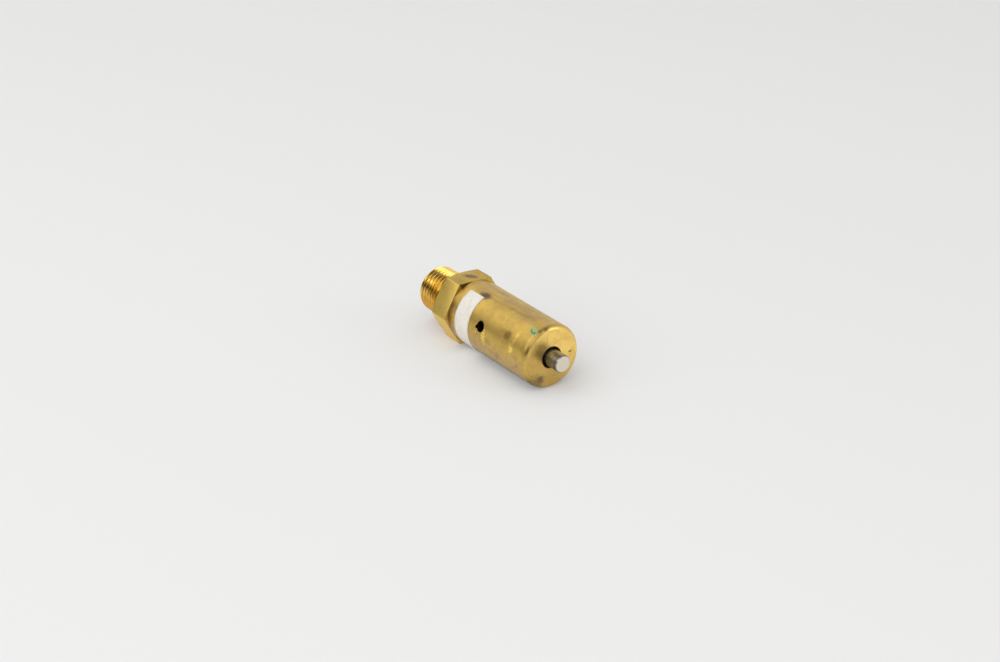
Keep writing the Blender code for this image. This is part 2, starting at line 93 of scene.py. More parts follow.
# %% [markdown]
# ## The camera
#
# The photograph looks down at the spindle's end at about 26 degrees, from far away with a long
# lens. A long lens keeps the far thread almost as large as the near end, so the distance matters
# as much as the angle. The camera stands on a line through the valve's middle, at the azimuth and
# elevation that were worked out from the outline in the photograph.

# %% Camera
VIEW_AZIMUTH = math.radians(55.08)
VIEW_ELEVATION = math.radians(25.61)
VIEW_DISTANCE = 0.572
VIEW_AIM = Vector((0.00108, 0.0, 0.00752))
LENS = 73.9

towards_camera = Vector((
    math.sin(VIEW_AZIMUTH) * math.cos(VIEW_ELEVATION),
    -math.cos(VIEW_AZIMUTH) * math.cos(VIEW_ELEVATION),
    math.sin(VIEW_ELEVATION)))
lens = bpy.data.cameras.new("photo_lens")
lens.lens = LENS
lens.sensor_width = 36.0
lens.clip_start = 0.01
lens.clip_end = 50.0
camera = bpy.data.objects.new("photo_camera", lens)
camera.location = VIEW_AIM + towards_camera * VIEW_DISTANCE
camera.rotation_mode = "QUATERNION"
camera.rotation_quaternion = towards_camera.to_track_quat("Z", "Y")
bpy.context.scene.collection.objects.link(camera)
bpy.context.scene.camera = camera
bpy.context.scene.view_settings.view_transform = "Standard"
print("camera at", [round(value, 4) for value in camera.location])

# %% [markdown]
# ## Helpers for node trees
#
# A colour picked from a screen is an sRGB value, and the shaders want linear light, so one function
# does that sum. One more adds a node with its settings and inputs. A tree holds many small sums,
# and a Math node for each is hard to read. So a node's output is kept as a `Signal`, and a sum that
# is written with signals adds its own Math nodes.

# %% Colours, signals and nodes
MIX_FACTOR, MIX_A, MIX_B, MIX_RESULT = 0, 6, 7, 2


def linear(colour):
    """Linear RGBA of an sRGB hex colour such as "c9a552"."""
    channels = [int(colour[place:place + 2], 16) / 255 for place in (0, 2, 4)]
    return (*[
        value / 12.92 if value <= 0.04045 else ((value + 0.055) / 1.055) ** 2.4
        for value in channels], 1.0)


class Signal:
    """The output of a node, for use in sums and as an input of other nodes."""

    def __init__(self, socket):
        self.socket = socket
        self.tree = socket.id_data

    def work(self, operation, *others, **settings):
        """The signal taken through one step of arithmetic."""
        return add(self.tree, "ShaderNodeMath", (self, *others), operation=operation, **settings)

    def __add__(self, other):
        return self.work("ADD", other)

    def __sub__(self, other):
        return self.work("SUBTRACT", other)

    def __rsub__(self, other):
        return add(self.tree, "ShaderNodeMath", (other, self), operation="SUBTRACT")

    def __mul__(self, other):
        return self.work("MULTIPLY", other)

    def __truediv__(self, other):
        return self.work("DIVIDE", other)


def give(socket, value):
    """Links signals to a socket, or sets it to a number, a vector, a material or a hex colour."""
    if isinstance(value, (Signal, list)):
        for signal in value if isinstance(value, list) else [value]:
            signal.tree.links.new(signal.socket, socket)
    else:
        socket.default_value = linear(value) if isinstance(value, str) else value


def add(tree, kind, inputs=(), output=0, **settings):
    """Adds a node and gives back one of its outputs, or a table of all where output is None.

    The inputs are listed from the first socket on, or given in a table by name or number.
    """
    step = tree.nodes.new(kind)
    for name, value in settings.items():
        setattr(step, name, value)
    for socket, value in inputs.items() if isinstance(inputs, dict) else enumerate(inputs):
        give(step.inputs[socket], value)
    if output is None:
        return {socket.name: Signal(socket) for socket in step.outputs}
    return Signal(step.outputs[output])


# %% [markdown]
# ## Masks, patches and layers
#
# Old metal looks the way it does because things happened to it in places: here it was wiped, there
# a drop dried. So each finish is built from masks, numbers from 0 to 1 that say where. They are
# placed with the same ruler as the shapes, in millimetres and degrees, and a mask can fade over a
# range, follow a noise, or mark one spot. The colours are then laid on in the order in which the
# marks came.

# %% Rulers, masks and layers
SPOT_RIM = 1.2
SPOT_UNEVEN = 1.6


def ruled_surface(name):
    """A material, its tree, and the place that is shaded in mm about the joint on the axis."""
    material = bpy.data.materials.new(name)
    material.use_nodes = True
    tree = material.node_tree
    scale = 1 / MM
    ruler = add(tree, "ShaderNodeMapping", {
        "Vector": add(tree, "ShaderNodeTexCoord", output="Object"),
        "Location": (-joint_x * scale, 0.0, -axis_z * scale), "Scale": (scale, scale, scale)})
    return material, tree, ruler


def lathe_lines(tree, ruler):
    """Station, radius, and a number that grows along the sides and outwards on the faces."""
    parts = add(tree, "ShaderNodeSeparateXYZ", (ruler,), None)
    radius = (parts["Y"] * parts["Y"] + parts["Z"] * parts["Z"]).work("SQRT")
    return parts["X"], radius, parts["X"] + radius


def elevation_of(tree, ruler):
    """The elevation in degrees, from -180 to 180, of the place that is shaded."""
    parts = add(tree, "ShaderNodeSeparateXYZ", (ruler,), None)
    return parts["Z"].work("ARCTAN2", parts["Y"] * -1.0) * math.degrees(1.0)


def band(tree, value, *ends):
    """A mask that rises from the first end to the second and falls from the fourth to the third."""
    mask = add(tree, "ShaderNodeMapRange", (value, *ends[:2]))
    if len(ends) > 2:
        mask = mask * add(tree, "ShaderNodeMapRange", (value, *ends[2:]))
    return mask


def patches(tree, place, size, detail, roughness, offset, lines=False):
    """Noise with lumps about this many mm across, or with lines where the place is one number."""
    sizes = {"Scale": 1.0 / size, "Detail": detail, "Roughness": roughness}
    if lines:
        return add(
            tree, "ShaderNodeTexNoise", {**sizes, "W": place + offset}, noise_dimensions="1D")
    shifted = add(tree, "ShaderNodeVectorMath", (
        place, (offset, offset * 0.7, offset * 0.4)), operation="ADD")
    return add(tree, "ShaderNodeTexNoise", {**sizes, "Vector": shifted})


def spot(tree, ruler, station, elevation, along, around, ragged=0.8, seed=0.0, radius=CAGE_RADIUS,
         lean=0.0, soft=0.5):
    """A mask round one place: 1 in the middle, 0 past its half sizes, with a ragged edge.

    The half sizes are in mm, along the axis and round it, before the mark leans by some degrees.
    """
    middle = (at(station, radius, elevation) - Vector((joint_x, 0.0, axis_z))) / MM
    turn = Matrix.Rotation(math.radians(90 - elevation), 3, "X") @ Matrix.Rotation(
        math.radians(lean), 3, "Z")
    local = add(tree, "ShaderNodeMapping", {
        "Vector": ruler, "Location": tuple(middle), "Rotation": tuple(turn.to_euler("XYZ")),
        "Scale": (along, around, max(along, around, 0.6))}, vector_type="TEXTURE")
    away = add(tree, "ShaderNodeVectorMath", (local,), "Value", operation="LENGTH")
    uneven = patches(tree, ruler, 0.5 * min(along, around) + 0.1, 3.0, 0.6, seed + 3.1) - 0.5
    return band(tree, away + uneven * (ragged * SPOT_UNEVEN), SPOT_RIM, SPOT_RIM - soft)


def layered(tree, colour, *layers):
    """Lays colours over the first one, each where its mask is and at its strength."""
    for mask, strength, shade in layers:
        colour = add(tree, "ShaderNodeMix", {
            MIX_FACTOR: mask * strength, MIX_A: colour, MIX_B: shade}, MIX_RESULT, data_type="RGBA")
    return colour


def surfaced(material, colour, gloss, height, depth, metallic=1.0):
    """Gives a material its colour, its roughness and a bump that is this many mm high."""
    shader = material.node_tree.nodes["Principled BSDF"]
    bumped = add(material.node_tree, "ShaderNodeBump", {
        "Distance": depth * MM, "Strength": 1.0, "Height": height})
    for socket, value in (("Base Color", colour), ("Metallic", metallic), ("Roughness", gloss),
                          ("Normal", bumped)):
        give(shader.inputs[socket], value)
    return material


# %% [markdown]
# ## Brass, as this valve wears it
#
# The cage and the hexagon are free-machining brass, an alloy of copper and zinc with a little
# lead. Fresh from the lathe it is pale gold. Handling and damp turn it satin and olive, with brown
# spots where a drop dried and bright nicks where something struck it. The looks come from layers,
# each a mask with a colour: the gold itself, clouds of tarnish some millimetres across, fine rings
# that the tool left, an end face that hands keep wiped, a brown and amber band against the hexagon
# with grime in its corner, and the single stains and scrapes that the photograph shows. Some layers
# are painted light and shade: the wiped end is partly a painted highlight and darker away from its
# top, and painted shade lies on its rounding, low on its face, beside the spindle and along the
# cage's lowest line. One painted picture could show the same marks from one side. Masks placed by
# station and elevation stay on the cage when it is seen from anywhere.

# %% Satin tarnished brass of the cage
CAGE_STAINS_AND_PAINTED_SHADE = [
    # station, radius, elevation, half size along, half size round, lean, strength, colour
    (9.3, 9.2, 72.5, 2.4, 1.35, 0, 0.90, "5f5044"),
    (26.9, 9.2, 33.0, 1.5, 1.5, 0, 0.70, "7e5c34"),
    (24.6, 9.2, 35, 1.6, 0.8, 0, 0.25, "7a6238"),
    (12.9, 9.2, -15, 1.4, 0.8, 0, 0.40, "b08a72"),
    (32.4, 9.2, 4.5, 1.8, 0.7, 0, 0.40, "b08a72"),
    (19.8, 9.2, -12.5, 0.55, 0.4, 0, 0.55, "857c6a"),
    (21.0, 9.2, -13.5, 0.55, 0.4, 0, 0.55, "857c6a"),
    (31.8, 9.2, -14.4, 1.3, 0.22, 25, 0.60, "7a6545"),
    (33.25, 9.2, -8.5, 0.5, 0.5, 0, 0.45, "7a6545"),
    (19.6, 9.2, 2, 1.6, 1.1, 0, 0.25, "7a6545"),
    (24.1, 9.2, -14, 2.2, 1.2, 0, 0.25, "7a6545"),
    (19.5, 9.2, 76, 9.5, 0.16, 0, 0.40, "8a7148"),
    (23.5, 9.2, 79.5, 7.5, 0.22, 0, 0.40, "8a7656"),
    (14.5, 9.2, 73.5, 4.0, 0.14, 0, 0.30, "8a7148"),
    (21.0, 9.2, 88, 9.5, 0.6, 0, 0.35, "a98c78"),
    (28.5, 9.2, 83, 3.0, 0.35, 0, 0.35, "927a60"),
    (36.1, 8.7, 79, 0.5, 0.85, 0, 0.65, "6a5632"),
    (35.7, 8.9, 68, 0.5, 0.60, 0, 0.60, "75603c"),
    (36.05, 8.6, 27, 0.30, 1.55, 0, 0.70, "705426"),
    (36.6, 6.8, -56, 0.8, 1.25, 0, 0.70, "775a50"),
    (36.6, 6.1, 178, 0.25, 0.35, 0, 0.8, "6a4c20"),
    # the next three rows are painted shade on the end: a darker bottom corner, a darker lower face
    # and a dark wedge beside the spindle
    (36.0, 8.6, -50, 1.0, 3.6, 0, 0.70, "6f6248"),
    (36.6, 5.6, -95, 1.0, 3.0, 0, 0.25, "a98f58"),
    (36.6, 5.6, 35, 2.5, 2.6, 0, 0.35, "8e7434"),
    (11.1, 9.2, 200, 3.0, 2.0, 0, 0.40, "7a5c38"),
    (26.1, 9.2, 150, 3.2, 1.6, 0, 0.35, "7a5c38"),
    (30.6, 9.2, 250, 2.4, 1.8, 0, 0.35, "7a5c38"),
]
CAGE_SCRAPES = [
    # station, elevation, half size along, half size round, strength
    (17.0, 10.0, 1.2, 1.9, 1.1),
    (17.2, -2.0, 0.9, 1.2, 0.9),
    (13.5, 7.0, 0.5, 0.4, 1.0),
    (29.9, 14.0, 1.2, 1.2, 1.4),
    (29.4, 20.0, 1.1, 1.3, 1.15),
    (30.2, 27.0, 1.0, 1.4, 1.0),
    (30.3, 40.0, 0.8, 2.1, 0.95),
    (33.4, 30.0, 0.5, 0.5, 0.8),
    (23.1, 175.0, 1.0, 1.2, 0.75),
    (8.6, 230.0, 0.8, 1.0, 0.8),
]


def tarnished(name, gold, olive, brown, rough, clouds):
    """Brass with clouds of tarnish and lathe rings.

    Gives back the material, its tree, ruler, station and radius, and its colour, roughness and
    ripple, for the layers that come on top.
    """
    material, tree, ruler = ruled_surface(name)
    station, radius, lines = lathe_lines(tree, ruler)
    cloud = patches(tree, ruler, clouds, 5.0, 0.62, 7.0)
    fine_cloud = patches(tree, ruler, clouds * 0.22, 4.0, 0.6, 2.0)
    grain = patches(tree, ruler, 0.28, 3.0, 0.7, 5.0)
    rings = patches(tree, lines, 0.11, 2.0, 0.7, 3.0, lines=True)
    broad_rings = patches(tree, lines, 0.9, 2.0, 0.5, 9.0, lines=True)
    colour = layered(
        tree, gold, (band(tree, cloud, 0.38, 0.72), 1.0, olive),
        (band(tree, fine_cloud, 0.48, 0.80), 0.34, brown),
        (band(tree, grain, 0.55, 0.85), 0.16, brown), (band(tree, rings, 0.35, 0.7), 0.10, brown))
    ripple = rings + grain * 0.8 + broad_rings * 0.7
    gloss = band(tree, fine_cloud, 0.3, 0.75) * 0.15 + (rough - 0.06)
    return material, tree, ruler, station, radius, colour, gloss, ripple


def satin_cage_brass():
    """Aged turned brass: satin gold with olive clouds, brown stains and bright scrapes."""
    material, tree, ruler, station, radius, colour, gloss, ripple = tarnished(
        "free_machining_brass_turned_and_tarnished", "dbb75d", "c09f58", "967a4b", 0.40, 7.0)
    turned_to = elevation_of(tree, ruler)
    # the rounded end was faced last and is wiped by every hand that pulls the spindle; its brighter
    # gold is partly a painted highlight
    wiped = band(tree, station, 35.9, 36.5)
    wiped_gold_and_highlight = layered(tree, "ffd97c", (
        band(tree, patches(tree, ruler, 2.6, 4.0, 0.6, 12.0), 0.46, 0.80), 1.0, "e2b862"))
    toward_lit_top = ((turned_to - 125.0) * math.radians(1.0)).work("COSINE")
    fillet_shade = band(tree, station, 34.9, 35.7) * band(tree, radius, 8.2, 8.7)
    # grey-brown streaks on the back that it often lay on
    up = add(tree, "ShaderNodeSeparateXYZ", (ruler,), "Z")
    stretched = add(tree, "ShaderNodeMapping", {"Vector": ruler, "Scale": (0.2, 1.0, 1.0)})
    streaks = band(tree, up, 8.2, 9.1) * band(
        tree, patches(tree, stretched, 1.5, 3.0, 0.5, 1.0), 0.45, 0.70)
    colour = layered(
        tree, colour, (wiped, 1.0, wiped_gold_and_highlight),
        # painted shade: the end face darker away from its lit top
        (wiped * band(tree, toward_lit_top, 0.7, -0.4), 0.62, "b3924c"),
        # painted shade: the rounding darker at mid elevations, which tones down its highlight
        (fillet_shade * band(tree, turned_to, 5.0, 20.0, 90.0, 55.0), 0.42, "7d6738"),
        (streaks * (1.0 - wiped), 0.55, "a48d72"))
    # stains, and the rows of painted shade on the end
    for number, listed_mark in enumerate(CAGE_STAINS_AND_PAINTED_SHADE):
        where, out, elevation, along, around, lean, strength, shade = listed_mark
        mark = spot(
            tree, ruler, where, elevation, along, around, 0.7, number * 1.7, out, lean, 0.7)
        colour = layered(tree, colour, (mark, strength, shade))
    # next to the hexagon the cage is brown low down and amber higher up, with grime in the corner
    # itself
    uneven = (patches(tree, ruler, 1.2, 4.0, 0.6, 15.0) - 0.5) * 1.6
    joint = band(tree, station + uneven, 2.3, 0.9)
    low_side = band(tree, turned_to, -50.0, -25.0, 42.0, 28.0)
    # the lower side is greyer, and a painted shade runs along its lowest line in sight
    underside = band(tree, turned_to, -150.0, -120.0) * band(tree, station, 36.0, 35.2)
    # the inside of the cage and the wall of the spindle hole are painted dark brown
    inside = band(tree, radius, 9.12, 8.95) * band(tree, station, 34.0, 33.0)
    spindle_hole = band(tree, radius, 3.3, 3.1) * band(tree, station, 34.0, 34.3)
    colour = layered(
        tree, colour, (joint * low_side, 0.75, "76552c"), (joint, 0.25, "a8741f"),
        (band(tree, station, 0.5, 0.1), 0.4, "5f4a26"),
        (underside * band(tree, turned_to, 12.0, -22.0), 0.3, "b8a488"),
        # painted shade: the lowest line in sight reflects the dark floor under the cage
        (underside * band(tree, turned_to, -33.0, -42.0), 0.85, "574a34"),
        (inside, 0.8, "463519"), (spindle_hole, 0.9, "6a431c"))
    # scrapes: patches of small bright cuts with brown burrs beside them
    marks = [
        spot(tree, ruler, where, elevation, along, around, 0.6, number * 2.3, soft=0.9) * strength
        for number, (where, elevation, along, around, strength) in enumerate(CAGE_SCRAPES)]
    scraped = marks[0]
    for mark in marks[1:]:
        scraped = scraped.work("MAXIMUM", mark)
    slanted = add(tree, "ShaderNodeMapping", {
        "Vector": ruler, "Rotation": (0.0, 0.0, 0.5), "Scale": (0.55, 1.0, 1.0)})
    cut = patches(tree, slanted, 0.32, 5.0, 0.62, 21.0) + scraped * 0.19
    fresh = band(tree, cut, 0.60, 0.69) * band(tree, scraped, 0.05, 0.4)
    colour = layered(
        tree, colour, (band(tree, cut, 0.50, 0.42) * band(tree, scraped, 0.1, 0.5), 0.4, "8a6420"),
        (fresh, 1.0, "ffdb70"))
    return surfaced(material, colour, gloss - wiped * 0.10 - fresh * 0.03, ripple, 0.006)


cage_brass = satin_cage_brass()
print("cage material has", len(cage_brass.node_tree.nodes), "nodes")

# %% [markdown]
# ## The other metals
#
# The hexagon is the drawn skin of the bar, so its marks run along it, not round it. The thread was
# cut last with a die, which leaves bright flanks, and the roots keep the dirt. Inside, the brass
# never met a hand and stays clean. The spindle is drawn steel with a ground end, the spring is
# patented carbon steel wire with a thin brown oil film, and the washers are zinc plated.

# %% Hexagon, thread and inner brass
HEX_LENGTH = 7.1
NIPPLE_LENGTH = 12.4
NIPPLE_END_RADIUS = 6.6
TAPER = 1 / 32


def drawn_hexagon_brass():
    """The skin of drawn hexagon bar: satin, a little greener than the cage, marked lengthways."""
    material, tree, ruler, station, _, colour, gloss, ripple = tarnished(
        "free_machining_brass_drawn_hexagon", "d6b55a", "bb9f54", "8b7541", 0.38, 5.0)
    turned_to = elevation_of(tree, ruler)
    along = add(tree, "ShaderNodeMapping", {"Vector": ruler, "Scale": (0.05, 1.0, 1.0)})
    draw_marks = patches(tree, along, 0.16, 3.0, 0.7, 4.0)
    # the face under the cage is painted dark at the corner that faces the camera: partly grime,
    # partly a painted shade beside the cage
    from_corner = (turned_to - 60.0).work("ABSOLUTE")
    corner = band(tree, station, -0.2, 0.0) * band(tree, from_corner, 27.0, 20.0)
    colour = layered(
        tree, colour, (band(tree, draw_marks, 0.5, 0.8), 0.25, "8b7342"),
        # a purple-brown smudge on the top flat, where a drop dried
        (spot(tree, ruler, -3.2, 94.0, 2.15, 1.2, 0.9, 4.0, 9.23, 33.0, 0.6), 0.8, "6f5346"),
        (spot(tree, ruler, -3.0, 96.0, 1.4, 0.6, 0.6, 6.0, 9.23, 33.0, 0.6), 0.6, "957c84"),
        (corner, 0.85, "4a3a22"),
        # painted highlights: the flat towards the camera and the flats below the axis are painted
        # brighter
        (band(tree, turned_to, -1.0, 1.0, 61.0, 59.0), 0.45, "f0d070"),
        (band(tree, turned_to, 0.5, -2.0), 0.9, "f2ce70"))
    return surfaced(material, colour, gloss, ripple + draw_marks * 1.5, 0.003)


def die_cut_thread_brass():
    """Freshly cut thread: bright orange gold on crests and flanks, dark brown in the roots."""
    material, tree, ruler = ruled_surface("free_machining_brass_die_cut")
    station, radius, _ = lathe_lines(tree, ruler)
    turned_to = elevation_of(tree, ruler)
    crest = (station + (HEX_LENGTH + NIPPLE_LENGTH)) * TAPER + NIPPLE_END_RADIUS
    dirt = patches(tree, ruler, 1.6, 4.0, 0.6, 6.0) - 0.5
    root = band(tree, crest - radius + dirt * 0.9, 0.24, 0.62)
    # dirt in the roots; it is painted weaker on top and underneath than on the side, a painted
    # highlight across the roots
    root_dirt_and_highlight = band(tree, turned_to, -12.0, 14.0) * 0.42 + 0.5
    root_dirt_and_highlight = root_dirt_and_highlight * (1.0 - band(tree, turned_to, 72.0, 84.0) * 0.62)
    # painted reflections: two dark bands at fixed elevations along the thread
    dark_reflection_bands = band(tree, turned_to, 4.0, 18.0, 36.0, 26.0) * 0.4 + band(
        tree, turned_to, 56.0, 63.0, 80.0, 72.0) * 0.35
    warmer = patches(tree, ruler, 3.0, 3.0, 0.5, 8.0)
    colour = layered(
        tree, "ffd970", (band(tree, warmer, 0.42, 0.72), 1.0, "efbb56"),
        (root * root_dirt_and_highlight, 1.0, "5e3c14"), (dark_reflection_bands, 1.0, "7c4d14"),
        # painted shade: the lower side darker orange
        (band(tree, turned_to, 12.0, -4.0), 0.6, "c98e34"))
    chatter = patches(tree, ruler, 0.35, 3.0, 0.6, 1.0)
    return surfaced(material, colour, root * 0.25 + 0.15, chatter, 0.004)


def clean_brass():
    """Turned brass that stays inside the valve: pale gold, fine rings, hardly tarnished."""
    material, *_, colour, gloss, ripple = tarnished(
        "free_machining_brass_turned_clean", "e2bf6a", "d0ab58", "a8854a", 0.28, 4.0)
    return surfaced(material, colour, gloss, ripple, 0.005)


hexagon_brass = drawn_hexagon_brass()
thread_brass = die_cut_thread_brass()
inner_brass = clean_brass()

# %% Steel, rubber, film and lacquer
LABEL_START = 3.3
LABEL_WIDTH = 6.5
DOT_STATION, DOT_ELEVATION, DOT_LEAN = 34.2, 61.9, -31.0
SPINDLE_END = 41.8


def lined_steel(name, bright, dull, rough, line_size, line_depth, ground_end=None):
    """Steel with fine lines round it. An end at this station is ground bright."""
    material, tree, ruler = ruled_surface(name)
    station, _, lines = lathe_lines(tree, ruler)
    cloud = patches(tree, ruler, 1.8, 4.0, 0.6, 2.0)
    rings = patches(tree, lines, line_size, 3.0, 0.7, 4.0, lines=True)
    colour = layered(
        tree, bright, (band(tree, cloud, 0.35, 0.7), 1.0, dull),
        (band(tree, rings, 0.45, 0.60), 0.75, dull))
    if ground_end is not None:
        from_end = ground_end - station
        # the ground end face is pale, and a thin ring of the side just below its chamfer is painted
        # darker
        colour = layered(
            tree, colour, (band(tree, from_end, 0.12, 0.04), 1.0, "e4dac8"),
            (band(tree, from_end, 0.75, 0.55, 0.25, 0.35), 0.45, "5a5048"))
    gloss = band(tree, cloud, 0.3, 0.7) * 0.13 + (rough - 0.05)
    return surfaced(material, colour, gloss, rings + cloud, line_depth)


def nitrile_rubber():
    """Moulded black rubber: a soft sheen and a faint bloom."""
    material, tree, ruler = ruled_surface("nitrile_rubber_moulded")
    bloom = patches(tree, ruler, 0.7, 4.0, 0.6, 0.0)
    shader = tree.nodes["Principled BSDF"]
    shader.inputs["Specular IOR Level"].default_value = 0.4
    colour = layered(tree, "1d1d1c", (band(tree, bloom, 0.45, 0.8), 1.0, "34332f"))
    return surfaced(material, colour, 0.62, bloom, 0.01, metallic=0.0)


def label_vinyl():
    """White vinyl film, a little yellow and rubbed, with a smooth satin face."""
    material, tree, ruler = ruled_surface("white_vinyl_film_calendered")
    station = add(tree, "ShaderNodeSeparateXYZ", (ruler,), "X")
    rub = patches(tree, ruler, 1.6, 5.0, 0.65, 3.0)
    speck = patches(tree, ruler, 0.35, 3.0, 0.6, 8.0)
    label_end = LABEL_START + LABEL_WIDTH
    edges = band(tree, station, LABEL_START + 0.7, LABEL_START + 0.1).work(
        "MAXIMUM", band(tree, station, label_end - 0.6, label_end - 0.05))
    colour = layered(
        tree, "e7e2d9", (band(tree, rub, 0.4, 0.75), 0.8, "d7cdbe"),
        (band(tree, speck, 0.62, 0.8), 0.35, "b3a48f"), (edges, 0.5, "c9bda6"))
    return surfaced(material, colour, 0.45, rub, 0.02, metallic=0.0)


def inspection_lacquer():
    """A dab of green lacquer: thick and dark at its left and low edge, thinner in the middle."""
    material, tree, ruler = ruled_surface("green_lacquer_dabbed")
    thin = patches(tree, ruler, 0.5, 3.0, 0.5, 5.0)
    places = (0.1, 1.0, 0.8, 0.38, 2.0), (-0.3, -3.0, 1.1, 0.3, 5.0), (0.8, -3.0, 0.55, 0.5, 7.0)
    worn, left, low = [
        spot(tree, ruler, DOT_STATION + along, DOT_ELEVATION + turned_by, length, width, 0.4, seed,
             CAGE_RADIUS, DOT_LEAN, 0.6)
        for along, turned_by, length, width, seed in places]
    colour = layered(
        tree, "a3b97e", (band(tree, thin, 0.35, 0.65), 1.0, "84a765"),
        (left.work("MAXIMUM", low), 0.9, "39703a"), (worn, 0.5, "93964c"))
    return surfaced(material, colour, 0.35, thin, 0.02, metallic=0.0)


spindle_steel = lined_steel(
    "carbon_steel_drawn_and_ground", "b4b4b8", "66645f", 0.34, 0.24, 0.009, SPINDLE_END)
spring_steel = lined_steel("spring_wire_patented_and_oiled", "8c857b", "5f564b", 0.36, 0.2, 0.004)
washer_steel = lined_steel("steel_washer_zinc_plated", "c3c4c6", "a3a39f", 0.3, 0.15, 0.003)
seat_rubber = nitrile_rubber()
label_film = label_vinyl()
green_lacquer = inspection_lacquer()
print("green lacquer has", len(green_lacquer.node_tree.nodes), "nodes")

# %% [markdown]
# ## Turning a piece
#
# Nearly every piece of a valve comes off a lathe, so its shape is half a section, spun round the
# axis. Blender's Screw modifier can do that, and so can a cylinder with many insets. Writing the
# rings directly gives more say: each corner of the section gets its own small rounding, because no
# real edge is sharp, and a ring stands close by on each side so that flat faces stay flat in the
# shading. Long walls can be cut into short rows where dents will follow.

# %% Turned pieces
FACETS = 192
CORNER_STEPS = 3
LARGE_ROUNDING = 0.5
HOLD_BACK = 1.6
SHARP_ANGLE = math.radians(40)
WELD = 0.00001
FINE_WELD = WELD / 20
AXIS_PLACE = Matrix.Translation((joint_x, 0.0, axis_z))


def softened(outline, row):
    """Points of a closed outline with its corners rounded and its long sides cut into rows.

    Each rounding is a part of a circle: a quadratic curve whose middle point has the right pull.
    """
    corners = []
    for number, (station, radius, size) in enumerate(outline):
        corner = Vector((station, radius))
        if not size:
            corners.append(corner)
            continue
        before = Vector(outline[number - 1][:2]) - corner
        after = Vector(outline[(number + 1) % len(outline)][:2]) - corner
        start = corner + before.normalized() * size
        end = corner + after.normalized() * size
        steps = CORNER_STEPS if size < LARGE_ROUNDING else 4 * CORNER_STEPS
        pull = math.sin(before.angle(after) / 2)
        if before.length > 5 * size:
            corners.append(corner + before.normalized() * size * HOLD_BACK)
        for step in range(steps + 1):
            part = step / steps
            shares = (1 - part) ** 2, 2 * pull * part * (1 - part), part ** 2
            corners.append((start * shares[0] + corner * shares[1] + end * shares[2]) / sum(shares))
        if after.length > 5 * size:
            corners.append(corner + after.normalized() * size * HOLD_BACK)
    if not row:
        return corners
    points = []
    for number, corner in enumerate(corners):
        following = corners[(number + 1) % len(corners)]
        outer = min(corner.y, following.y) > CAGE_RADIUS - 0.01
        rows = max(1, round((following - corner).length / row)) if outer else 1
        points += [corner.lerp(following, step / rows) for step in range(rows)]
    return points


def turned(name, outline, ring=False, facets=FACETS, row=0.0, place=AXIS_PLACE):
    """A closed piece spun round the axis from (station, radius, rounding) points, in mm.

    A ring's outline closes on itself. Any other outline starts and ends on the axis.
    """
    points = softened(outline, row)
    shape = bmesh.new()
    rings = []
    for station, radius in points:
        if radius <= 0:
            rings.append([shape.verts.new((station * MM, 0.0, 0.0))] * facets)
            continue
        rings.append([
            shape.verts.new((
                station * MM,
                -radius * MM * math.cos(math.tau * step / facets),
                radius * MM * math.sin(math.tau * step / facets)))
            for step in range(facets)])
    pairs = len(rings) if ring else len(rings) - 1
    for number in range(pairs):
        near, far = rings[number], rings[(number + 1) % len(rings)]
        for step in range(facets):
            following = (step + 1) % facets
            loop = [near[step], near[following], far[following], far[step]]
            corners = [vert for index, vert in enumerate(loop) if vert not in loop[:index]]
            if len(corners) > 2:
                shape.faces.new(corners)
    shape.transform(place)
    return new_piece(name, shape)


def new_piece(name, shape):
    """An object from a bmesh, with its faces pointing outwards."""
    bmesh.ops.recalc_face_normals(shape, faces=shape.faces)
    mesh = bpy.data.meshes.new(name)
    shape.to_mesh(mesh)
    shape.free()
    piece = bpy.data.objects.new(name, mesh)
    bpy.context.scene.collection.objects.link(piece)
    return piece


def settled(piece):
    """Turns a piece with its modifiers into a plain mesh."""
    depsgraph = bpy.context.evaluated_depsgraph_get()
    old = piece.data
    piece.data = bpy.data.meshes.new_from_object(piece.evaluated_get(depsgraph))
    piece.modifiers.clear()
    if old is not None:
        bpy.data.meshes.remove(old)
    return piece


def combined(piece, other, operation):
    """Unites a piece with another, cuts the other out of it, or keeps what they share."""
    step = piece.modifiers.new(operation, "BOOLEAN")
    step.operation = operation
    step.solver = "MANIFOLD"
    step.object = other
    settled(piece)
    bpy.data.objects.remove(other)
    return piece


def finished(piece, body, slot, *nodes):
    """Smooths a piece, checks that it is closed, and lets it stand for its solids on their body."""
    shape = bmesh.new()
    shape.from_mesh(piece.data)
    bmesh.ops.remove_doubles(shape, verts=shape.verts, dist=FINE_WELD)
    bmesh.ops.dissolve_degenerate(shape, edges=shape.edges, dist=FINE_WELD)
    open_edges = sum(1 for edge in shape.edges if not edge.is_manifold)
    volume = shape.calc_volume(signed=True)
    shape.to_mesh(piece.data)
    shape.free()
    piece.data.shade_smooth()
    piece.data.set_sharp_from_angle(angle=SHARP_ANGLE)
    if nodes:
        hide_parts(*nodes)
    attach(piece, body)
    triangles = sum(len(face.vertices) - 2 for face in piece.data.polygons)
    print(f"{piece.name}: {triangles} triangles, {open_edges} open edges, "
          f"{volume / MM ** 3:.1f} mm3, stands for {', '.join(nodes) or 'no solid'}")
    return piece


def painted(piece, material):
    """Gives the whole piece one material."""
    piece.data.materials.clear()
    piece.data.materials.append(material)
    return piece


# %% [markdown]
# ## Geometry Nodes from a script
#
# A thread, a spring and a label each follow a rule: so many turns to the inch, so many coils
# between two seats, a strip bent round a cylinder. A node tree states such a rule once, with named
# inputs for the sizes, and gives the same shape every time. The function below makes an empty tree
# with its inputs, and the next one hangs it on an object, sets the inputs and keeps the result as a
# plain mesh.

# %% Tree helpers
SOCKETS = {float: "NodeSocketFloat", int: "NodeSocketInt"}


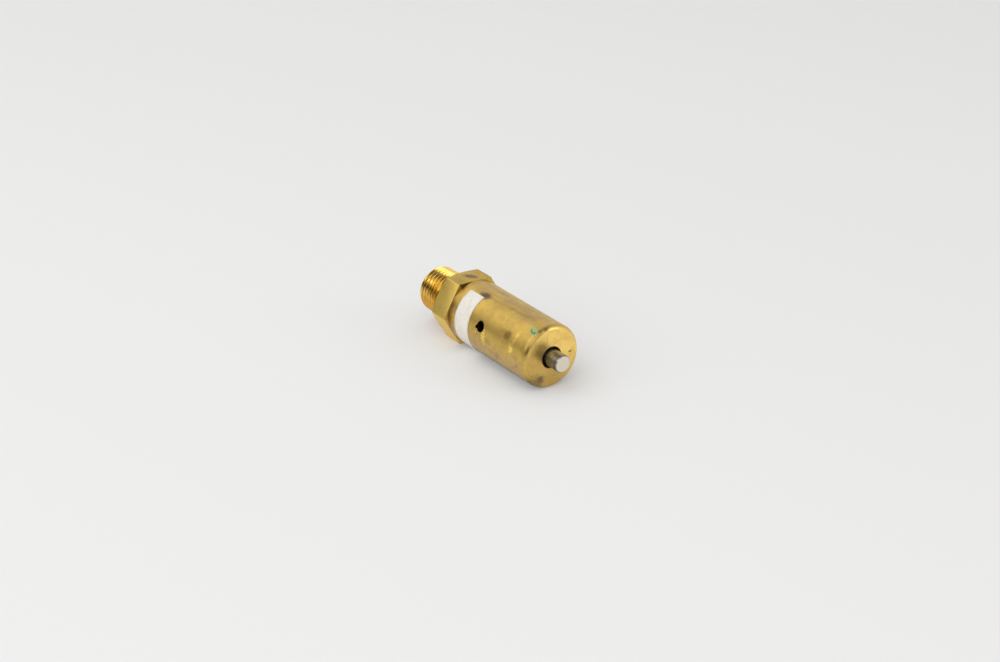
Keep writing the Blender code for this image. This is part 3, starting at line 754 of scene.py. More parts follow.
def new_tree(name, sizes, takes_mesh=False):
    """A tree with one named input for each size and one for the material, and those inputs."""
    tree = bpy.data.node_groups.new(name, "GeometryNodeTree")
    tree.interface.new_socket("Mesh", in_out="OUTPUT", socket_type="NodeSocketGeometry")
    if takes_mesh:
        tree.interface.new_socket("Mesh", in_out="INPUT", socket_type="NodeSocketGeometry")
    for size, value in sizes.items():
        tree.interface.new_socket(size, in_out="INPUT", socket_type=SOCKETS[type(value)])
    tree.interface.new_socket("Material", in_out="INPUT", socket_type="NodeSocketMaterial")
    return tree, add(tree, "NodeGroupInput", output=None)


def ending(tree, geometry, material):
    """Ends a tree: real geometry instead of instances, with its material."""
    real = add(tree, "GeometryNodeRealizeInstances", (geometry,))
    dressed = add(tree, "GeometryNodeSetMaterial", {"Geometry": real, "Material": material})
    add(tree, "NodeGroupOutput", (dressed,), None)
    return tree


def grown(name, tree, sizes, mesh=None):
    """A plain mesh object made by a tree with these sizes."""
    piece = bpy.data.objects.new(name, mesh or bpy.data.meshes.new(name))
    bpy.context.scene.collection.objects.link(piece)
    step = piece.modifiers.new(tree.name, "NODES")
    step.node_group = tree
    for socket in tree.interface.items_tree:
        if socket.in_out == "INPUT" and socket.name in sizes:
            step[socket.identifier] = sizes[socket.name]
    return settled(piece)


# %% [markdown]
# ## The taper pipe thread
#
# The inlet has a quarter-inch taper pipe thread: 18 turns to the inch and a taper of 1 in 16 on
# the diameter. A thread could be faked with rings, but rings have no lead and no start. Here a
# grid is wrapped round the cone with its rows following the helix, so each crest is one unbroken
# line. Twelve rows make one pitch: two stay on the crest, two in the root and the rest on flanks
# that stand at 60 degrees to each other. The end chamfer cuts the first turn, and the last turns
# run out before the hexagon, as the throat of a die leaves them. The spigot inside the cage uses
# the same tree.

# %% Thread tree
THREAD_SIZES = {
    "Start": 0.0, "Direction": 1.0, "Length": 0.0, "Tail": 0.0, "Start Radius": 0.0, "Taper": 0.0,
    "Pitch": 0.0, "Depth": 0.0, "Run-out": 0.0, "Chamfer": 0.0, "Axis Height": 0.0,
    "Facets": 0, "Rows": 0}
ROWS_PER_PITCH = 12
CREST_SHARE = 1 / 6


def thread_tree():
    """A tree that wraps a helical grid round a cone and presses the thread's profile into it."""
    tree, size = new_tree("cone_thread", THREAD_SIZES)
    grid = add(tree, "GeometryNodeMeshGrid", {
        "Size X": 1.0, "Size Y": 1.0, "Vertices X": size["Facets"], "Vertices Y": size["Rows"]})
    here = add(tree, "ShaderNodeSeparateXYZ", (add(tree, "GeometryNodeInputPosition"),), None)
    around = here["X"] + 0.5
    turn = (here["Y"] + 0.5) * ((size["Rows"] - 1.0) / float(ROWS_PER_PITCH)) - 1.0
    travel = (turn + around) * size["Pitch"]
    travel = travel.work("MINIMUM", size["Length"] + size["Tail"]).work("MAXIMUM", 0.0)
    crest = size["Start Radius"] + travel * size["Taper"]
    wave = (turn.work("FRACT") - 0.5).work("ABSOLUTE") * 2.0
    groove = (1 - CREST_SHARE - wave).work("DIVIDE", 1 - 2 * CREST_SHARE, use_clamp=True)
    left = (size["Length"] - travel).work("DIVIDE", size["Run-out"], use_clamp=True)
    chamfer = size["Start Radius"] - size["Chamfer"] + travel
    radius = (crest - groove * left * size["Depth"]).work("MINIMUM", chamfer)
    angle = around * math.tau
    place = add(tree, "ShaderNodeCombineXYZ", (
        size["Start"] + travel * size["Direction"],
        radius * angle.work("COSINE") * -1.0,
        radius * angle.work("SINE") * (size["Direction"] * -1.0) + size["Axis Height"]))
    bent = add(tree, "GeometryNodeSetPosition", {"Geometry": grid, "Position": place})
    closed = add(tree, "GeometryNodeMergeByDistance", {"Geometry": bent, "Distance": WELD})
    return ending(tree, closed, size["Material"])


cone_thread = thread_tree()


def threaded_rod(name, start, direction, length, tail, radius, taper, pitch, depth, run_out,
                 chamfer):
    """A closed rod with a thread, from its chamfered start. Lengths are in mm."""
    rows = (math.ceil((length + tail) / pitch) + 2) * ROWS_PER_PITCH + 1
    sizes = {
        "Start": at(start, 0).x, "Direction": direction, "Length": length * MM, "Tail": tail * MM,
        "Start Radius": radius * MM, "Taper": taper, "Pitch": pitch * MM, "Depth": depth * MM,
        "Run-out": run_out * MM, "Chamfer": chamfer * MM, "Axis Height": axis_z,
        "Facets": FACETS + 1, "Rows": rows, "Material": thread_brass}
    rod = grown(name, cone_thread, sizes)
    shape = bmesh.new()
    shape.from_mesh(rod.data)
    bpy.data.objects.remove(rod)
    ends = [edge for edge in shape.edges if edge.is_boundary]
    bmesh.ops.holes_fill(shape, edges=ends, sides=0)
    rod = new_piece(name, shape)
    print(name, len(rod.data.polygons), "faces")
    return rod


# %% [markdown]
# ## The hexagon and the body
#
# The body is one piece of bar. The hexagon is the bar itself, faced and chamfered by the lathe on
# the thread side, which leaves the curved lines where the flats meet the chamfer. The thread, the
# spigot and the bores are turned. So the body is built in the same order: bar, thread, spigot, then
# the bores are cut away. Booleans suit this, because each step is a real cut.

# %% Threaded body
ACROSS_FLATS = 18.4
BAR_EDGE = 0.28
FACE_EDGE = 0.08
PITCH = 25.4 / 18
SPIGOT_RADIUS = 7.1
SPIGOT_LENGTH = 7.5
BORE_RADIUS = 3.6
NOZZLE_RADIUS = 2.6
GUIDE_RADIUS = 5.1


def hexagon_bar(name, across_flats, bottom, top, edge, face_edge):
    """A length of hexagon bar on the axis, with its long edges and its faces' edges rounded."""
    corner_radius = across_flats / 2 / math.cos(math.radians(30))
    shape = bmesh.new()
    ends = [
        [shape.verts.new(at(station, corner_radius, 60 * number)) for number in range(6)]
        for station in (bottom, top)]
    for number in range(6):
        after = (number + 1) % 6
        shape.faces.new((ends[0][number], ends[0][after], ends[1][after], ends[1][number]))
    shape.faces.new(ends[0])
    shape.faces.new(ends[1])
    long_edges = [
        line for line in shape.edges
        if abs(line.verts[0].co.x - line.verts[1].co.x) > MM / 2]
    bmesh.ops.bevel(
        shape, geom=long_edges, offset=edge * MM, segments=4, affect="EDGES", profile=0.5,
        clamp_overlap=True)
    top_edges = [
        line for line in shape.edges
        if all(abs(vert.co.x - at(top, 0).x) < WELD for vert in line.verts)]
    bmesh.ops.bevel(
        shape, geom=top_edges, offset=face_edge * MM, segments=2, affect="EDGES", profile=0.5,
        clamp_overlap=True)
    return new_piece(name, shape)


def chamfer_collar(name, across_flats, inset, bottom, top, turn_facets=FACETS):
    """The turned shape that a hexagon shares with its chamfered self."""
    circle = across_flats / 2 - inset
    wide = across_flats
    rise = (wide - circle) * math.tan(math.radians(30))
    return turned(name, [
        (top + 1.0, 0.0, 0), (top + 1.0, wide, 0), (bottom + rise, wide, 0),
        (bottom, circle, 0), (bottom, 0.0, 0)], facets=turn_facets)


def make_body():
    """Hexagon, threaded nipple, threaded spigot, relief groove and bores, cut from one bar."""
    nipple_end = -HEX_LENGTH - NIPPLE_LENGTH
    body = hexagon_bar("threaded_body", ACROSS_FLATS, -HEX_LENGTH, 0.0, BAR_EDGE, FACE_EDGE)
    combined(body, chamfer_collar("collar", ACROSS_FLATS, 0.3, -HEX_LENGTH, 0.0), "INTERSECT")
    nipple = threaded_rod(
        "nipple", nipple_end, 1.0, NIPPLE_LENGTH, 1.0, NIPPLE_END_RADIUS, TAPER, PITCH, 0.815,
        2.6, 0.9)
    combined(body, nipple, "UNION")
    spigot = threaded_rod(
        "spigot", SPIGOT_LENGTH, -1.0, SPIGOT_LENGTH - 1.0, 0.0, SPIGOT_RADIUS, 0.0, 1.0, 0.45,
        0.8, 0.5)
    neck = turned("neck", [(2.5, 0.0, 0), (2.5, 6.6, 0), (-1.5, 6.6, 0), (-1.5, 0.0, 0)])
    combined(body, neck, "UNION")
    combined(body, spigot, "UNION")
    cone = (BORE_RADIUS - NOZZLE_RADIUS) / math.tan(math.radians(31))
    bores = turned("bores", [
        (8.5, 0.0, 0), (8.5, 6.2, 0), (7.2, GUIDE_RADIUS, 0.1), (-1.5, GUIDE_RADIUS, 0.2),
        (-1.5, 3.8, 0.15), (0.8, 3.1, 0.12), (0.8, NOZZLE_RADIUS, 0.12),
        (-5.0, NOZZLE_RADIUS, 0.1), (-5.0 - cone, BORE_RADIUS, 0.1),
        (nipple_end + 0.5, BORE_RADIUS, 0.1), (nipple_end - 1.0, 5.1, 0),
        (nipple_end - 1.0, 0.0, 0)])
    combined(body, bores, "DIFFERENCE")
    body.data.materials.clear()
    for material in (hexagon_brass, thread_brass, inner_brass):
        body.data.materials.append(material)
    hex_x = at(-HEX_LENGTH, 0).x
    for face in body.data.polygons:
        middle = face.center
        radius = math.hypot(middle.y, middle.z - axis_z) / MM
        threaded = middle.x < hex_x - WELD and radius > 5.5
        faced = abs(face.normal.x) > 0.99 and max(math.hypot(
            body.data.vertices[corner].co.y, body.data.vertices[corner].co.z - axis_z)
            for corner in face.vertices) > 8.5 * MM
        inside = not faced and (radius < 5.5 or middle.x > at(0.02, 0).x)
        face.material_index = 1 if threaded else 2 if inside else 0
    return finished(body, "housing", "body_brass", "valve_body")


threaded_body = make_body()

# %% [markdown]
# ## The spring cage
#
# The cage is a cup turned from round bar. Its wall is cut into short rows here, because a real
# cage of this age has small dents, and a dent has to be in the mesh to catch the light at its
# rim. The vent is drilled straight across. Its edge isn't clean in the photograph: a notch lies on
# the side of the hexagon, and the metal round it is scraped.

# %% Drilled cage
VENT_STATION = 14.9
VENT_ELEVATION = 20.0
VENT_RADIUS = 1.6
NOTCH_STATION = 13.45
NOTCH_ELEVATION = 16.5
MOUTH = 0.04
CAGE_ROUNDING = 1.6
CAGE_ROW = 0.28
CAGE_FACETS = 224
DENTS = [
    # station, elevation, width, depth
    (17.0, 14, 0.55, 0.03), (17.4, 5, 0.5, 0.025), (17.0, -3, 0.4, 0.02),
    (29.8, 13, 0.9, 0.03), (28.3, 20, 0.7, 0.025), (30.4, 6, 0.6, 0.02),
    (27.5, 33, 1.3, 0.035), (35.1, 47, 0.8, 0.04), (32.9, 9, 0.8, 0.03),
    (34.5, -20, 0.7, 0.05), (23.1, 175, 0.9, 0.05), (8.6, 230, 0.7, 0.04),
    (19.7, 1, 0.7, 0.025), (24.1, 62, 1.6, 0.02), (12.1, 150, 1.2, 0.03),
]


def towards(elevation, station):
    """A turn and shift that lays a piece's axis along a spoke of the valve at this place."""
    spoke = at(0.0, 1.0, elevation) - at(0.0, 0.0)
    turn = Vector((1.0, 0.0, 0.0)).rotation_difference(spoke).to_matrix().to_4x4()
    return Matrix.Translation(at(station, 0.0)) @ turn


def make_cage():
    """A turned cup with its spindle hole, its cross-drilled vents, a notch and small dents."""
    end = CAGE_LENGTH
    cage = turned("drilled_cage", [
        (end, 3.2, 0.06), (end, 9.2, CAGE_ROUNDING), (MOUTH, 9.2, 0.12), (MOUTH, 7.4, 0.15),
        (34.4, 7.4, 0.8), (34.4, 2.76, 0.15), (end - 0.45, 2.76, 0.08)],
        ring=True, facets=CAGE_FACETS, row=CAGE_ROW)
    flare = VENT_RADIUS + 0.25 + 1.0
    drill = turned("drill", [
        (10.2, 0.0, 0), (10.2, flare, 0), (8.95, VENT_RADIUS, 0.1), (-8.95, VENT_RADIUS, 0.1),
        (-10.2, flare, 0), (-10.2, 0.0, 0)], facets=72, place=towards(VENT_ELEVATION, VENT_STATION))
    combined(cage, drill, "DIFFERENCE")
    notch = turned("notch", [
        (10.2, 0.0, 0), (10.2, 1.0, 0), (9.0, 0.5, 0.1), (6.9, 0.42, 0), (6.9, 0.0, 0)],
        facets=24, place=towards(NOTCH_ELEVATION, NOTCH_STATION))
    combined(cage, notch, "DIFFERENCE")
    for vertex in cage.data.vertices:
        spoke = vertex.co - Vector((vertex.co.x, 0.0, axis_z))
        if spoke.length < (CAGE_RADIUS - 0.3) * MM:
            continue
        for station, elevation, width, depth in DENTS:
            away = (vertex.co - at(station, CAGE_RADIUS, elevation)).length / MM
            if away < width:
                fall = 0.5 + 0.5 * math.cos(math.pi * away / width)
                vertex.co -= spoke.normalized() * depth * fall * MM
    painted(cage, cage_brass)
    return finished(cage, "housing", "cage_brass", "spring_cage")


drilled_cage = make_cage()

# %% [markdown]
# ## Spindle
#
# The spindle is a stepped pin. Only its end stands out: a bright ground face with a small chamfer,
# and a thin ring of the side below the chamfer painted darker, which shows as a dark line round
# the face. The shank below is thicker, so that it stops under the bush, and a thin stud at the
# bottom carries the disc.

# %% Stepped spindle
stepped_spindle = turned("stepped_spindle", [
    (SPINDLE_END, 0.0, 0), (SPINDLE_END, 2.15, 0.06), (SPINDLE_END - 0.35, 2.5, 0.08),
    (22.5, 2.5, 0.12), (22.5, 3.2, 0.15), (10.6, 3.2, 0.15), (10.6, 1.0, 0.12),
    (-2.0, 1.0, 0.06), (-2.2, 0.8, 0.05), (-2.2, 0.0, 0)], facets=128)
painted(stepped_spindle, spindle_steel)
finished(stepped_spindle, "spindle_group", "spindle_steel", "spindle")

# %% [markdown]
# ## Pieces on the spindle
#
# A soft disc does the sealing. A brass poppet holds it in a shallow recess, a washer and a small
# hexagon nut clamp it from below. The poppet slides in the spigot, and three flats milled on it let
# the air past. The three cuts are the same block, instanced three times round the axis by a tree.

# %% Poppet tree and the disc's pieces
FLAT_SIZES = {
    "Flats": 0, "Near": 0.0, "Far": 0.0, "Width": 0.0, "Bottom": 0.0, "Top": 0.0,
    "Axis Height": 0.0}


def flats_tree():
    """A tree that mills flats round the axis of the mesh it is given."""
    tree, size = new_tree("milled_flats", FLAT_SIZES, takes_mesh=True)
    extent = add(tree, "ShaderNodeCombineXYZ", (
        size["Top"] - size["Bottom"], size["Width"], size["Far"] - size["Near"]))
    block = add(tree, "GeometryNodeMeshCube", {"Size": extent})
    away = add(tree, "ShaderNodeCombineXYZ", {"Z": (size["Far"] + size["Near"]) * -0.5})
    hung = add(tree, "GeometryNodeTransform", {"Geometry": block, "Translation": away})
    middle = add(tree, "ShaderNodeCombineXYZ", {
        "X": (size["Bottom"] + size["Top"]) * 0.5, "Z": size["Axis Height"]})
    points = add(tree, "GeometryNodePoints", {"Count": size["Flats"], "Position": middle})
    number = add(tree, "GeometryNodeInputIndex")
    turn = add(tree, "ShaderNodeCombineXYZ", {"X": number / size["Flats"] * math.tau})
    blocks = add(tree, "GeometryNodeInstanceOnPoints", {
        "Points": points, "Instance": hung, "Rotation": turn})
    real = add(tree, "GeometryNodeRealizeInstances", (blocks,))
    cut = add(tree, "GeometryNodeMeshBoolean", {"Mesh 1": size["Mesh"], "Mesh 2": real},
              operation="DIFFERENCE", solver="EXACT")
    return ending(tree, cut, size["Material"])


poppet_blank = turned("poppet_blank", [
    (10.3, 3.4, 0.25), (7.8, 3.4, 0.1), (7.8, 4.8, 0.12), (3.9, 4.8, 0.12), (3.9, 4.5, 0.05),
    (1.9, 4.5, 0.08), (1.9, 4.1, 0.08), (2.9, 4.1, 0.08), (2.9, 1.3, 0.06), (10.3, 1.3, 0.08)],
    ring=True, facets=96)
flatted_poppet = grown("flatted_poppet", flats_tree(), {
    "Flats": 3, "Near": 3.8 * MM, "Far": 5.8 * MM, "Width": 9.6 * MM, "Bottom": at(4.5, 0).x,
    "Top": at(8.8, 0).x, "Axis Height": axis_z, "Material": inner_brass},
    poppet_blank.data.copy())
bpy.data.objects.remove(poppet_blank)
finished(flatted_poppet, "spindle_group", "inner_brass", "poppet")

sealing_disc = turned("sealing_disc", [
    (1.1, 3.8, 0.12), (1.1, 1.3, 0.08), (2.6, 1.3, 0.08), (2.6, 3.8, 0.12)], ring=True, facets=96)
painted(sealing_disc, seat_rubber)
finished(sealing_disc, "spindle_group", "seat_rubber", "seat_disc")

clamp_washer = turned("clamp_washer", [
    (0.2, 2.3, 0.08), (0.2, 1.3, 0.06), (0.8, 1.3, 0.06), (0.8, 2.3, 0.08)], ring=True, facets=96)
painted(clamp_washer, inner_brass)
finished(clamp_washer, "spindle_group", "inner_brass", "disc_washer")

stud_nut = hexagon_bar("stud_nut", 4.0, -1.7, -0.1, 0.12, 0.04)
combined(stud_nut, chamfer_collar("nut_collar", 4.0, 0.1, -1.7, -0.1, 96), "INTERSECT")
combined(stud_nut, turned("nut_hole", [
    (1.0, 0.0, 0), (1.0, 2.4, 0), (-0.3, 1.3, 0.03), (-1.5, 1.3, 0.03), (-2.6, 2.4, 0),
    (-2.6, 0.0, 0)], facets=64), "DIFFERENCE")
painted(stud_nut, inner_brass)
finished(stud_nut, "spindle_group", "inner_brass", "disc_nut")

# %% [markdown]
# ## The spring
#
# The spring is wound from round wire: one closed turn at each end, nine working turns between them,
# and both ends ground flat so that it stands square. A curve with a screw would give an even pitch
# only. The tree places each point by its own turn, which lets the pitch change where the working
# turns begin, and runs a round wire along it. The ends are then cut off flat, as a grinder does.

# %% Coil spring
SPRING_SIZES = {
    "Bottom": 0.0, "Top": 0.0, "Mean Radius": 0.0, "Wire": 0.0, "End Turns": 0.0,
    "Working Turns": 0.0, "End Pitch": 0.0, "Axis Height": 0.0, "Points": 0, "Wire Facets": 0}


def spring_tree():
    """A tree that winds a wire with closed end turns between two stations."""
    tree, size = new_tree("closed_end_spring", SPRING_SIZES)
    line = add(tree, "GeometryNodeMeshLine", {
        "Offset": (0.0, 0.0, MM), "Count": size["Points"]}, mode="OFFSET", count_mode="TOTAL")
    path = add(tree, "GeometryNodeMeshToCurve", {"Mesh": line})
    end_turns, working_turns = size["End Turns"], size["Working Turns"]
    part = add(tree, "GeometryNodeInputIndex") / (size["Points"] - 1.0)
    turn = part * (working_turns + end_turns * 2.0)
    first_end = turn.work("MINIMUM", end_turns)
    last_end = (turn - end_turns - working_turns).work("MAXIMUM", 0.0)
    end_rise = size["End Pitch"] * (first_end + last_end)
    free = size["Top"] - size["Bottom"] - end_turns * 2.0 * size["End Pitch"]
    rise = free / working_turns * (turn - first_end - last_end)
    angle = turn * math.tau
    place = add(tree, "ShaderNodeCombineXYZ", (
        size["Bottom"] + (end_rise + rise),
        size["Mean Radius"] * angle.work("SINE"),
        size["Axis Height"] - size["Mean Radius"] * angle.work("COSINE")))
    wound = add(tree, "GeometryNodeSetPosition", {"Geometry": path, "Position": place})
    section = add(tree, "GeometryNodeCurvePrimitiveCircle", {
        "Resolution": size["Wire Facets"], "Radius": size["Wire"] * 0.5}, mode="RADIUS")
    wire = add(tree, "GeometryNodeCurveToMesh", {
        "Curve": wound, "Profile Curve": section, "Fill Caps": True})
    return ending(tree, wire, size["Material"])


def ground_flat(piece, station, outwards):
    """Cuts a piece off square at a station and closes the cut."""
    shape = bmesh.new()
    shape.from_mesh(piece.data)
    bmesh.ops.remove_doubles(shape, verts=shape.verts, dist=FINE_WELD)
    cut = bmesh.ops.bisect_plane(
        shape, geom=shape.verts[:] + shape.edges[:] + shape.faces[:], dist=WELD / 100,
        plane_co=at(station, 0.0), plane_no=(outwards, 0.0, 0.0), clear_outer=True)
    rim = [line for line in cut["geom_cut"] if isinstance(line, bmesh.types.BMEdge)]
    bmesh.ops.holes_fill(shape, edges=rim, sides=0)
    shape.to_mesh(piece.data)
    shape.free()


SPRING_BOTTOM, SPRING_TOP = 9.0, 31.0
TURN_POINTS = 48
coil_spring = grown("coil_spring", spring_tree(), {
    "Bottom": at(SPRING_BOTTOM, 0).x, "Top": at(SPRING_TOP, 0).x, "Mean Radius": 4.25 * MM,
    "Wire": 1.1 * MM, "End Turns": 1.0, "Working Turns": 9.0, "End Pitch": 1.25 * MM,
    "Axis Height": axis_z, "Points": 11 * TURN_POINTS + 1, "Wire Facets": 20,
    "Material": spring_steel})
ground_flat(coil_spring, SPRING_BOTTOM, -1.0)
ground_flat(coil_spring, SPRING_TOP, 1.0)
finished(coil_spring, "housing", "spring_steel", "valve_spring")
tuple(at(SPRING_TOP, 0))
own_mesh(coil_spring)

# %% [markdown]
# ## Washers, bush and shims
#
# The spring stands on a steel washer and pushes against a flanged brass bush. The bush guides the
# spindle, and two thin washers above it set the load. All are plain rings, so each is a section of
# a few points.

# %% Spring washer, bush and shims
RINGS = [
    # name, outline, material, body, slot, node
    ("spring_washer", [(8.1, 4.9, 0.08), (8.1, 3.7, 0.08), (8.7, 3.7, 0.08), (8.7, 4.9, 0.08)],
     washer_steel, "spring_seat", "washer_steel", "lower_spring_seat"),
    ("flanged_bush", [
        (32.5, 7.1, 0.15), (31.3, 7.1, 0.15), (31.3, 3.4, 0.15), (25.3, 3.4, 0.15),
        (25.3, 2.8, 0.12), (32.5, 2.8, 0.12)],
     inner_brass, "housing", "inner_brass", "upper_spring_guide"),
    ("upper_shim", [(33.6, 6.3, 0.06), (33.6, 3.1, 0.06), (34.1, 3.1, 0.06), (34.1, 6.3, 0.06)],
     washer_steel, "housing", "washer_steel", "set_shim_1"),
    ("lower_shim", [(32.8, 6.3, 0.06), (32.8, 3.1, 0.06), (33.3, 3.1, 0.06), (33.3, 6.3, 0.06)],
     washer_steel, "housing", "washer_steel", "set_shim_2"),
]
for name, outline, material, body, slot, node in RINGS:
    piece = painted(turned(name, outline, ring=True, facets=128), material)
    finished(piece, body, slot, node)

# %% [markdown]
# ## Label and inspection dot
#
# The label is a strip of white film. A tree bends a flat grid round the cage and gives it
# thickness, and lifts the edges by a few hundredths of a millimetre where the film has let go. It
# is left bare. The green dot is a dab of lacquer: a low dome with an uneven edge.

# %% Bare label
LABEL_SIZES = {
    "Station": 0.0, "Width": 0.0, "Radius": 0.0, "Top": 0.0, "Wrap": 0.0, "Thickness": 0.0,
    "Lift": 0.0, "Axis Height": 0.0, "Columns": 0, "Rows": 0}


def label_tree():
    """A tree that bends a strip of film round the cage and gives it thickness."""
    tree, size = new_tree("wrapped_film", LABEL_SIZES)
    grid = add(tree, "GeometryNodeMeshGrid", {
        "Size X": 1.0, "Size Y": 1.0, "Vertices X": size["Columns"], "Vertices Y": size["Rows"]})
    flat = add(tree, "GeometryNodeInputPosition")
    here = add(tree, "ShaderNodeSeparateXYZ", (flat,), None)
    across, along = here["X"], here["Y"]
    # the upper end and the long edges are where the film has let go
    end = (0.0 - across).work("MULTIPLY", 2.0, use_clamp=True).work("POWER", 24.0)
    side = (along.work("ABSOLUTE") * 2.0).work("POWER", 10.0)
    wave = add(tree, "ShaderNodeTexNoise", {"Vector": flat, "Scale": 9.0, "Detail": 2.0})
    radius = size["Radius"] + wave * (side + end * 2.0) * size["Lift"]
    angle = size["Top"] - (across + 0.5) * size["Wrap"]
    travel = along + 0.5 + (wave - 0.5) * 0.02 * side
    place = add(tree, "ShaderNodeCombineXYZ", (
        size["Station"] + travel * size["Width"],
        radius * angle.work("COSINE") * -1.0,
        size["Axis Height"] + radius * angle.work("SINE")))
    bent = add(tree, "GeometryNodeSetPosition", {"Geometry": grid, "Position": place})
    thick = add(tree, "GeometryNodeExtrudeMesh", {
        "Mesh": bent, "Offset Scale": size["Thickness"], "Individual": False}, mode="FACES")
    back = add(tree, "GeometryNodeFlipFaces", (bent,))
    both = add(tree, "GeometryNodeJoinGeometry", {0: [back, thick]})
    whole = add(tree, "GeometryNodeMergeByDistance", {"Geometry": both, "Distance": WELD / 10})
    return ending(tree, whole, size["Material"])


bare_label = grown("bare_label", label_tree(), {
    "Station": at(LABEL_START, 0).x, "Width": LABEL_WIDTH * MM, "Radius": 9.19 * MM,
    "Top": math.radians(67.5), "Wrap": math.radians(135), "Thickness": 0.08 * MM,
    "Lift": 0.05 * MM, "Axis Height": axis_z, "Columns": 97, "Rows": 29, "Material": label_film})
finished(bare_label, "housing", "label_film", "rating_label")

# %% Lacquer dot
DOT_HALF_LENGTH, DOT_HALF_WIDTH, DOT_HEIGHT = 1.65, 0.92, 0.05


def cage_surface(station):
    """The cage's outer radius at a station, along its side and over its rounding."""
    over = station - (CAGE_LENGTH - CAGE_ROUNDING)
    if over <= 0:
        return CAGE_RADIUS
    return CAGE_RADIUS - CAGE_ROUNDING + math.sqrt(CAGE_ROUNDING ** 2 - over ** 2)


def make_dot():
    """A low dome of lacquer that follows the cage, thicker at its rim, with an uneven edge."""
    shape = bmesh.new()
    profile = [
        (0.0, 0.55), (0.35, 0.6), (0.6, 0.8), (0.8, 1.0), (0.92, 0.8), (1.0, 0.25), (1.0, -0.4)]
    spokes = 48
    rings = []
    for reach, height in profile:
        ring = []
        for number in range(spokes):
            turn = math.tau * number / spokes
            edge = 1 + 0.09 * math.sin(2 * turn + 0.6) + 0.06 * math.sin(3 * turn + 2.0)
            longways = reach * edge * DOT_HALF_LENGTH * math.cos(turn)
            sideways = reach * edge * DOT_HALF_WIDTH * math.sin(turn)
            lean = math.radians(DOT_LEAN)
            station = DOT_STATION + longways * math.cos(lean) - sideways * math.sin(lean)
            arc = longways * math.sin(lean) + sideways * math.cos(lean)
            elevation = DOT_ELEVATION + math.degrees(arc / CAGE_RADIUS)
            radius = cage_surface(station) + height * DOT_HEIGHT
            ring.append(shape.verts.new(at(station, radius, elevation)))
        rings.append(ring)
    for near, far in zip(rings, rings[1:]):
        for number in range(spokes):
            after = (number + 1) % spokes
            shape.faces.new((near[number], near[after], far[after], far[number]))
    shape.faces.new(rings[-1])
    bmesh.ops.remove_doubles(shape, verts=shape.verts, dist=FINE_WELD)
    return new_piece("lacquer_dot", shape)


lacquer_dot = painted(make_dot(), green_lacquer)
finished(lacquer_dot, "housing", None)

# %% [markdown]
# ## Floor and light
#
# The valve lies on a pale seamless sheet in a light tent, so the light comes from nearly
# everywhere. Metal shows what surrounds it, so the floor, the world and the large lamps are as much
# a part of the finish as the brass is. The world is pale to the camera, to glossy rays and to rays
# that pass through, and a little lower for the light that it sheds. The sheet glows faintly to the
# same rays, as paper with light behind it does, which keeps its shadows but stops them at grey.
#
# The satin sides carry a dark band low down and a dull top. Both are reflections of what isn't
# tent: the gap between the table and the wall, the roof above the lamps, and a flap beyond the
# spindle. They are dark to glossy rays only, so the background stays even. Lamps alone could
# not give them, because a lamp only adds light.

# %% Floor and world
PAPER_GLOW = 0.22
TENT_LIGHT = 0.78
GAP_LOW, GAP_HIGH, GAP_SOFT = 1.0, 16.5, 3.5
ROOF_FROM, ROOF_TO, ROOF_DARK = 50.0, 66.0, 0.7
# the flap lies in this direction, and ends where the cosine of the angle to it is FLAP_RIM
TENT_FLAP = (0.90, 0.08, 0.44)
FLAP_RIM, FLAP_FULL, FLAP_DARK = 0.955, 0.985, 0.8
DARK_SHARE = 0.95


def followed_rays(tree):
    """A mask of camera, glossy and passing rays, and one of glossy rays alone."""
    rays = add(tree, "ShaderNodeLightPath", output=None)
    glossy = rays["Is Glossy Ray"]
    seen = glossy.work("MAXIMUM", rays["Is Transmission Ray"])
    return seen.work("MAXIMUM", rays["Is Camera Ray"]), glossy


floor_shape = bmesh.new()
bmesh.ops.create_circle(floor_shape, cap_ends=True, radius=6.0, segments=96)
floor = new_piece("floor", floor_shape)
floor_surface = bpy.data.materials.new("pale_matt_paper")
floor_surface.use_nodes = True
paper = floor_surface.node_tree
floor_shader = paper.nodes["Principled BSDF"]
for socket, value in (("Base Color", "ebebea"), ("Roughness", 0.9), ("Specular IOR Level", 0.1)):
    give(floor_shader.inputs[socket], value)
painted(floor, floor_surface)
glow = add(paper, "ShaderNodeEmission", {"Color": "ececec", "Strength": 1.0})
seen, _ = followed_rays(paper)
give(paper.nodes["Material Output"].inputs["Surface"], add(paper, "ShaderNodeMixShader", (
    seen * PAPER_GLOW, Signal(floor_shader.outputs[0]), glow)))

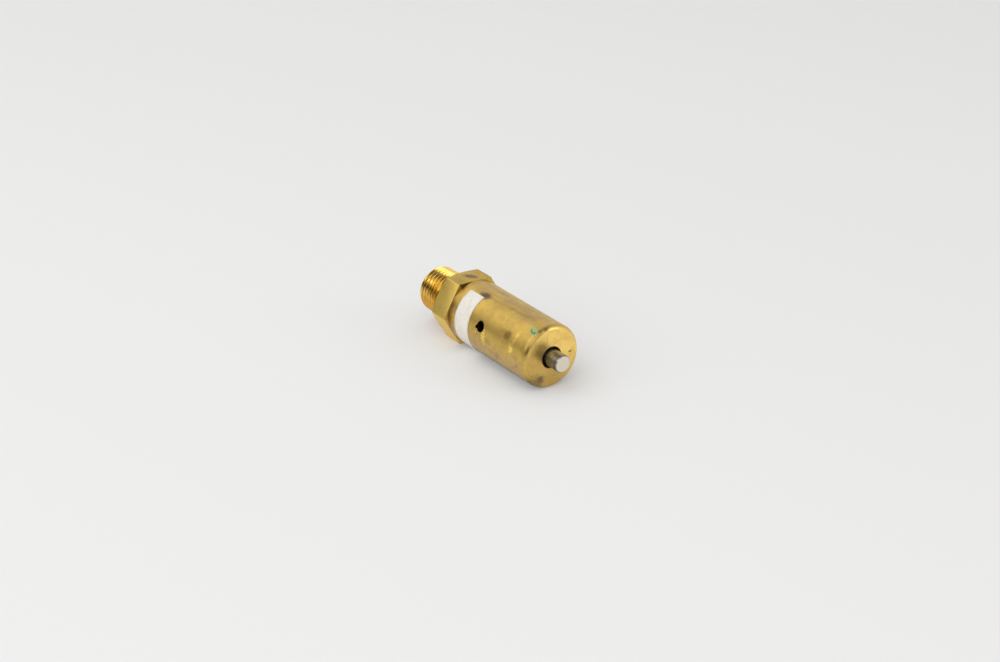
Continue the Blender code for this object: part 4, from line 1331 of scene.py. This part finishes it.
world = bpy.data.worlds.new("light_tent")
world.use_nodes = True
bpy.context.scene.world = world
sky = world.node_tree
direction = add(sky, "ShaderNodeTexCoord", output="Generated")
aim = add(sky, "ShaderNodeSeparateXYZ", (direction,), None)
rise = aim["Z"].work("ARCSINE") * math.degrees(1.0)
gap = band(
    sky, rise, GAP_LOW - GAP_SOFT, GAP_LOW + GAP_SOFT, GAP_HIGH + GAP_SOFT, GAP_HIGH - GAP_SOFT)
gap = gap * band(sky, aim["Y"], 0.1, -0.2)
roof = band(sky, rise, ROOF_FROM, ROOF_TO) * ROOF_DARK
flap = add(
    sky, "ShaderNodeVectorMath", (direction, TENT_FLAP), "Value", operation="DOT_PRODUCT")
flap = band(sky, flap, FLAP_RIM, FLAP_FULL) * FLAP_DARK
seen, glossy = followed_rays(sky)
shade = gap.work("MAXIMUM", roof).work("MAXIMUM", flap) * glossy
background = sky.nodes["Background"]
give(background.inputs["Color"], "ececec")
give(background.inputs["Strength"], (
    seen * (1.0 - TENT_LIGHT) + TENT_LIGHT) * (1.0 - shade * DARK_SHARE))
print("tent:", len(sky.nodes), "nodes, paper:", len(paper.nodes), "nodes")

# %% Lamps
LAMPS = [
    # name, azimuth, elevation, distance, width, height, watts
    ("window", 12.0, 47.0, 1.0, 1.4, 1.1, 4.5),
    ("key", 312.0, 60.0, 1.0, 1.3, 1.0, 1.4),
    ("near", 70.0, 25.0, 1.0, 0.35, 0.3, 0.35),
    ("right", 127.0, 24.0, 1.0, 0.34, 0.34, 0.6),
]
for name, azimuth, elevation, distance, width, height, watts in LAMPS:
    light = bpy.data.lights.new(name, "AREA")
    light.shape = "RECTANGLE"
    light.size = width
    light.size_y = height
    light.energy = watts
    lamp = bpy.data.objects.new(name, light)
    turn, rise = math.radians(azimuth), math.radians(elevation)
    away = Vector((
        math.sin(turn) * math.cos(rise), -math.cos(turn) * math.cos(rise), math.sin(rise)))
    lamp.location = away * distance
    lamp.rotation_mode = "QUATERNION"
    lamp.rotation_quaternion = away.to_track_quat("Z", "Y")
    bpy.context.scene.collection.objects.link(lamp)
print("lamps:", [lamp[0] for lamp in LAMPS])

# %% [markdown]
